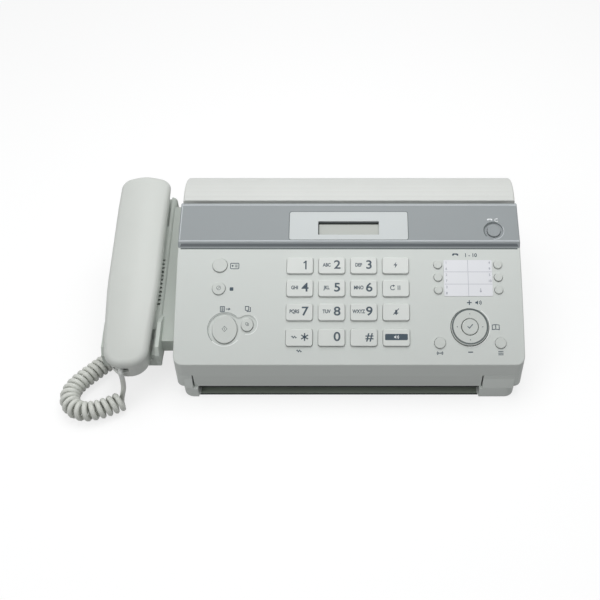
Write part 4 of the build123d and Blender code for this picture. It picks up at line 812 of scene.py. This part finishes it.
def markPanel(values):
    pen = MarkPen()
    for x, y, sign, scale in panelSigns:
        width = values["boldWidth"] if sign in ("plus", "minus") else values["signWidth"]
        drawSign(pen, surfaceFrame("panel_housing", x, y), sign, scale * values["signScale"], width)
    pen.text(surfaceFrame("panel_housing", *values["rangePlace"]), "1 - 10", values["rangeHeight"], 0.1)
    pen.finish("panel_marks", "panel", "ink")
    band = MarkPen()
    at = surfaceFrame("fascia_band", *values["bandPlace"])
    drawSign(band, at, "handset", 1.0, values["bandWidth"], -values["bandShift"])
    drawSign(band, at, "again", 0.95, values["bandWidth"], values["bandShift"])
    band.finish("band_marks", "panel", "lightInk")
    for name, (sign, scale, width, material) in buttonSigns.items():
        pen = MarkPen()
        drawSign(pen, surfaceFrame(name, *middleOf(name)), sign, scale, width)
        pen.finish(name + "_mark", name, material)
    pen = MarkPen()
    x, y = middleOf("set_button")
    for angle in (0, 90, 180, 270):
        a = math.radians(angle)
        place = (x - values["tickX"] * math.sin(a), y + values["tickY"] * math.cos(a))
        drawSign(pen, surfaceFrame("nav_ring", *place, angle), "tick", 1.0, values["tickWidth"])
    pen.finish("nav_ring_marks", "nav_ring", "inkSoft")


markPanel(panelValues)
print("panel marks done")


cardValues = dict(
    thick=0.04, sink=0.03, line=0.3, edge=0.4, gap=0.2, columnReach=1.12, numberInset=2.2, numberHeight=2.2,
)
# each row of the card: its height as a share of half the depth, then the numbers at the left and right
cardRows = [(2 / 3, ("1", "6"), ("4", "9")), (0, ("2", "7"), ("5", "10")), (-2 / 3, ("3", "8"), ())]


# the directory card's grid, with its numbers
def markCard(values):
    name = "directory_card"
    x, y = middleOf(name)
    low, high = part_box(name)
    half = (high[0] - low[0]) * 500
    deep = (high[1] - low[1]) * 500
    grid = MarkPen(values["thick"], values["sink"])
    end = half - values["edge"]
    reach = deep / 3 * values["columnReach"]
    for row in (-1 / 3, 1 / 3):
        at = surfaceFrame(name, x, y + row * deep)
        grid.stroke(at, [(-end, 0), (-values["gap"], 0)], values["line"])
        grid.stroke(at, [(values["gap"], 0), (end, 0)], values["line"])
    for row in (-2 / 3, 0, 2 / 3):
        at = surfaceFrame(name, x, y + row * deep)
        grid.stroke(at, [(0, -reach), (0, reach)], values["line"])
    for row, left, right in cardRows:
        for side, pair in ((-1, left), (1, right)):
            for part, word in zip((1, -1), pair):
                place = (x + side * (half - values["numberInset"]), y + row * deep + part * deep / 6)
                grid.text(surfaceFrame(name, *place), word, values["numberHeight"], 0.06, 0.9)
    drawSign(grid, surfaceFrame(name, x + half / 2, y - deep * 2 / 3), "down", 1.05, 0.5)
    grid.finish("card_grid", "panel", "gridLine")


markCard(cardValues)
print("card done")


# a strip laid along a path on a node's surface
def surfaceStrip(name, node, points, width, material, thick=0.12, body="panel", closed=False):
    rings = []
    places = [dropOn(node, *p) for p in points]
    count = len(places)
    for i, (place, normal) in enumerate(places):
        before = places[i - 1][0] if i > 0 or closed else place
        after = places[(i + 1) % count][0] if i < count - 1 or closed else place
        along = (after - before).normalized()
        across = normal.cross(along).normalized() * width / 2000
        lift = normal * thick / 1000
        left, right = place + across, place - across
        rings.append((left + lift, right + lift, right - lift, left - lift))
    mesh = bmesh.new()
    verts = [[mesh.verts.new(p) for p in ring] for ring in rings]
    for i in range(count if closed else count - 1):
        k = (i + 1) % count
        for j in range(4):
            mesh.faces.new((verts[i][j], verts[k][j], verts[k][(j + 1) % 4], verts[i][(j + 1) % 4]))
    if not closed:
        mesh.faces.new(verts[0])
        mesh.faces.new(list(reversed(verts[-1])))
    bmesh.ops.recalc_face_normals(mesh, faces=mesh.faces)
    piece = meshPiece(mesh, name, material)
    bevel = piece.modifiers.new("bevel", "BEVEL")
    bevel.width = thick / 2500
    bevel.segments = 2
    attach(piece, body)


def alongX(x0, x1, y, count=24):
    return [(x0 + (x1 - x0) * i / count, y) for i in range(count + 1)]


def loopAround(x, y, rx, ry, corner, count=8):
    box = roundedBox(2 * rx, 2 * ry, corner, count)
    return [(x + px, y + py) for px, py in box]


def boxMillis(name):
    low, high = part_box(name)
    return (Vector(low) - bodyOrigin) * 1000, (Vector(high) - bodyOrigin) * 1000


bandValues = dict(
    endInset=0.8, frontHighlight=4.3, frontHighlightWidth=1.1, backHighlight=1.6, backHighlightWidth=1.2,
    sideInset=1.4, sideFrom=5.4, sideShort=8.2, sideWidth=0.8, shadeFrom=1.6, shadeWidth=2.6,
    seamInset=2.4, seamAhead=0.55, seamWidth=1.2,
)


# painted highlights along the band's edges, the painted shade on its front edge and painted shade in the seam
# before it
def makeBandStrips(values):
    low, high = boxMillis("fascia_band")
    front, back = low.y, high.y
    end = high.x - values["endInset"]
    highlightPath = alongX(-end, end, front + values["frontHighlight"])
    surfaceStrip("band_highlight_front", "fascia_band", highlightPath, values["frontHighlightWidth"], "bandHighlight")
    highlightPath = alongX(-end, end, back - values["backHighlight"])
    surfaceStrip("band_highlight_back", "fascia_band", highlightPath, values["backHighlightWidth"], "bandHighlight")
    x = -high.x + values["sideInset"]
    start, run = front + values["sideFrom"], back - front - values["sideShort"]
    highlightPath = [(x, start + run * i / 10) for i in range(11)]
    surfaceStrip("band_highlight_left", "fascia_band", highlightPath, values["sideWidth"], "bandHighlight", 0.1)
    shade = alongX(-end, end, front + values["shadeFrom"], 60)
    width = values["shadeWidth"]
    surfaceStrip("band_front_shade", "fascia_band", shade, width, "bandShade", 0.05)
    end = high.x - values["seamInset"]
    seam = alongX(-end, end, front - values["seamAhead"], 60)
    # painted shade: a dark strip on the panel in the seam at the band's front edge
    surfaceStrip("band_joint_shade", "panel_housing", seam, values["seamWidth"], "darkJointAndShade", 0.05)


makeBandStrips(bandValues)


def arcOn(name, cap, radius, start, turn, count=40, reach=2):
    # points, seen from above, of a round line on a sloping surface about the foot of a cap
    x, y = middleOf(cap)
    beyond = (x, y + radius + reach) if cap == "copy_button" else (x - radius - reach, y)
    beside, normal = dropOn(name, *beyond)
    proud = max(v.co.dot(normal) for v in nodes[cap].data.vertices) - beside.dot(normal)
    middle = (x - normal.x * proud * 1000, y - normal.y * proud * 1000)
    return circlePoints(radius, count, middle, start, turn, normal.z)


ringValues = dict(darkJointAndShade=14.5, grooveWidth=1.3, edgeHighlight=16.8, edgeHighlightWidth=0.8)
# piece, surface, cap, radius, start and sweep in degrees with the count of points, width, material, thickness
rimValues = [
    ("dish_shade_line", "panel_housing", "start_button", 14.2, (48, 190, 36), 0.5, "rimShade", 0.04),
    ("dish_highlight", "panel_housing", "start_button", 14.3, (225, 95, 24), 0.7, "edgeHighlight", 0.06),
    ("copy_highlight", "panel_housing", "copy_button", 8.6, (-100, 150, 24), 0.6, "edgeHighlight", 0.06),
    ("auto_shade_line", "fascia_band", "auto_button", 8.5, (70, 150, 28), 0.8, "darkJointAndShade", 0.05),
    ("auto_highlight", "fascia_band", "auto_button", 8.5, (-95, 120, 24), 0.6, "bandHighlight", 0.06),
]


# painted shade in the grooves and painted highlights on the edges round the ring and the dished buttons
def makeRims(values):
    darkJointAndShade = arcOn("nav_ring", "set_button", values["darkJointAndShade"], 0, 360, 64, -3)
    width = values["grooveWidth"]
    surfaceStrip("ring_shade_line", "nav_ring", darkJointAndShade, width, "darkJointAndShade", 0.04, "nav_ring", True)
    edgeHighlight = arcOn("panel_housing", "set_button", values["edgeHighlight"], -95, 150, 36)
    surfaceStrip("ring_highlight", "panel_housing", edgeHighlight, values["edgeHighlightWidth"], "edgeHighlight", 0.08)
    for name, node, cap, radius, arc, width, material, thick in rimValues:
        surfaceStrip(name, node, arcOn(node, cap, radius, *arc), width, material, thick)


makeRims(ringValues)
print("rims done")


displayValues = dict(
    outlineX=0.35, outlineY=0.1, outlineWidth=0.45, windowInset=(6, 3.1, 0), topDrop=1.6, topWidth=2.6,
    sideInset=0.5, sideFrom=0.3, sideShort=1.0, sideWidth=0.8,
)


# an outline round the display's plate, and the shade that the window's edge throws on the glass
def makeDisplay(values):
    low, high = boxMillis("lcd_plate")
    middle, half = (low + high) / 2, (high - low) / 2
    outline = loopAround(middle.x, middle.y, half.x + values["outlineX"], half.y + values["outlineY"], 2)
    width = values["outlineWidth"]
    surfaceStrip("plate_outline", "fascia_band", outline, width, "darkJointAndShade", 0.05, closed=True)
    low, high = boxMillis("lcd_module")
    low, high = low + Vector(values["windowInset"]), high - Vector(values["windowInset"])
    shade = alongX(low.x + 0.1, high.x - 0.1, high.y - values["topDrop"], 12)
    surfaceStrip("window_shade", "lcd_module", shade, values["topWidth"], "shadow", 0.03)
    x, start = low.x + values["sideInset"], low.y + values["sideFrom"]
    run = high.y - low.y - values["sideShort"]
    shade = [(x, start + run * i / 6) for i in range(7)]
    width = values["sideWidth"]
    surfaceStrip("window_shade_left", "lcd_module", shade, width, "shadow", 0.03)


makeDisplay(displayValues)
print("display done")


def bevelBox(mesh, middle, size, bevel):
    place = Matrix.Translation(middle) @ Matrix.Diagonal((*size, 1))
    made = bmesh.ops.create_cube(mesh, size=1, matrix=place)["verts"]
    edges = list({e for v in made for e in v.link_edges})
    bmesh.ops.bevel(mesh, geom=edges, offset=bevel, segments=2, profile=0.5, affect="EDGES")


slotShadeValues = dict(
    trayY=4.5, trayWidth=9.2, barY=-0.06, barZ=1.7, barThick=0.00012, barTall=0.0021, bevel=0.00003,
)


# painted shade in the front slot: a dark sheet on the slot's floor and a dark bar along its front edge
def makeSlotShade(values):
    low, high = boxMillis("document_chassis")
    tray = alongX(low.x + 1, high.x - 1, values["trayY"], 30)
    width = values["trayWidth"]
    surfaceStrip("slot_shade_sheet", "lower_cabinet", tray, width, "slotShade", 0.1, "base")
    shadeBar = bmesh.new()
    size = ((high.x - low.x - 1) / 1000, values["barThick"], values["barTall"])
    bevelBox(shadeBar, millis((low.x + high.x) / 2, values["barY"], values["barZ"]), size, values["bevel"])
    finishMesh(shadeBar, "slot_front_shade", "base", "shadow")


# glass over the sensor and the heating line of the head: piece, node, material, width
faceValues = [("sensor_glass", "image_sensor", "plug", 9.0), ("heating_line", "thermal_head", "shadow", 1.6)]


def makeFaces(values):
    for name, node, material, width in values:
        low, high = boxMillis(node)
        line = alongX(low.x + 4, high.x - 4, (low.y + high.y) / 2, 4)
        surfaceStrip(name, node, line, width, material, 0.2, "base")


coreValues = dict(thick=0.0009, sides=40)


# a thin tube lining the paper roll's bore, flush with its ends
def makePaperCore(values):
    low, high = [Vector(v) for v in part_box("paper_roll")]
    axis = (low + high) / 2
    bore = min(math.hypot(v.co.y - axis.y, v.co.z - axis.z) for v in nodes["paper_roll"].data.vertices)
    inner = bore - values["thick"]
    sides = values["sides"]
    mesh = bmesh.new()
    rings = []
    for x, radius in ((low.x, bore), (high.x, bore), (high.x, inner), (low.x, inner)):
        angles = [math.tau * i / sides for i in range(sides)]
        places = [(x, axis.y + radius * math.cos(a), axis.z + radius * math.sin(a)) for a in angles]
        rings.append([mesh.verts.new(place) for place in places])
    for i in range(4):
        after = rings[(i + 1) % 4]
        for j in range(sides):
            k = (j + 1) % sides
            mesh.faces.new((rings[i][j], rings[i][k], after[k], after[j]))
    bmesh.ops.recalc_face_normals(mesh, faces=mesh.faces)
    finishMesh(mesh, "paper_core", "paper_roll", "cardboard")


# chips on the main board: share of the board's width and depth, size in millimetres
chipValues = [
    (0.3, 0.25, 16, 16, 2), (0.68, 0.3, 12, 20, 2), (0.35, 0.55, 18, 12, 2), (0.7, 0.62, 9, 14, 2.4),
]
legValues = dict(
    spacing=1.7, beside=0.6, height=0.4, size=(0.0013, 0.0007, 0.0007), bevel=0.0001, chipBevel=0.0003,
)


def makeBoardParts(chips, values):
    low, high = boxMillis("main_board")
    bodies = bmesh.new()
    legs = bmesh.new()
    for shareX, shareY, width, depth, tall in chips:
        x = low.x + (high.x - low.x) * shareX
        y = low.y + (high.y - low.y) * shareY
        place, _ = dropOn("main_board", x, y)
        size = (width / 1000, depth / 1000, tall / 1000)
        bevelBox(bodies, place + Vector((0, 0, tall / 2000)), size, values["chipBevel"])
        count = int(depth / 2)
        for side in (-1, 1):
            for i in range(count):
                along = (i - (count - 1) / 2) * values["spacing"]
                leg = Vector((side * (width / 2 + values["beside"]), along, values["height"])) / 1000
                bevelBox(legs, place + leg, values["size"], values["bevel"])
    finishMesh(bodies, "board_chips", "base", "dark")
    finishMesh(legs, "chip_legs", "base", "steel")


contactValues = dict(
    count=4, pitch=0.0012, thick=0.0005, backInset=0.0015, endInset=0.002, drop=0.0007, bevel=0.0001,
)


def makeJackContacts(values):
    mesh = bmesh.new()
    for opening in record["physics"]["openings"]:
        if opening["name"].startswith("line_jack"):
            low, high = [Vector(v) for v in opening["box_m"]]
            high.y = cadBox[1][1] - values["backInset"]
            size = (values["thick"], high.y - low.y - values["endInset"], values["thick"])
            for i in range(values["count"]):
                x = (low.x + high.x) / 2 + (i - (values["count"] - 1) / 2) * values["pitch"]
                middle = Vector((x, (low.y + high.y) / 2, high.z - values["drop"]))
                bevelBox(mesh, middle, size, values["bevel"])
    finishMesh(mesh, "jack_contacts", "base", "brass")


makeSlotShade(slotShadeValues)
makeFaces(faceValues)
makePaperCore(coreValues)
makeBoardParts(chipValues, legValues)
makeJackContacts(contactValues)
print("inside done")
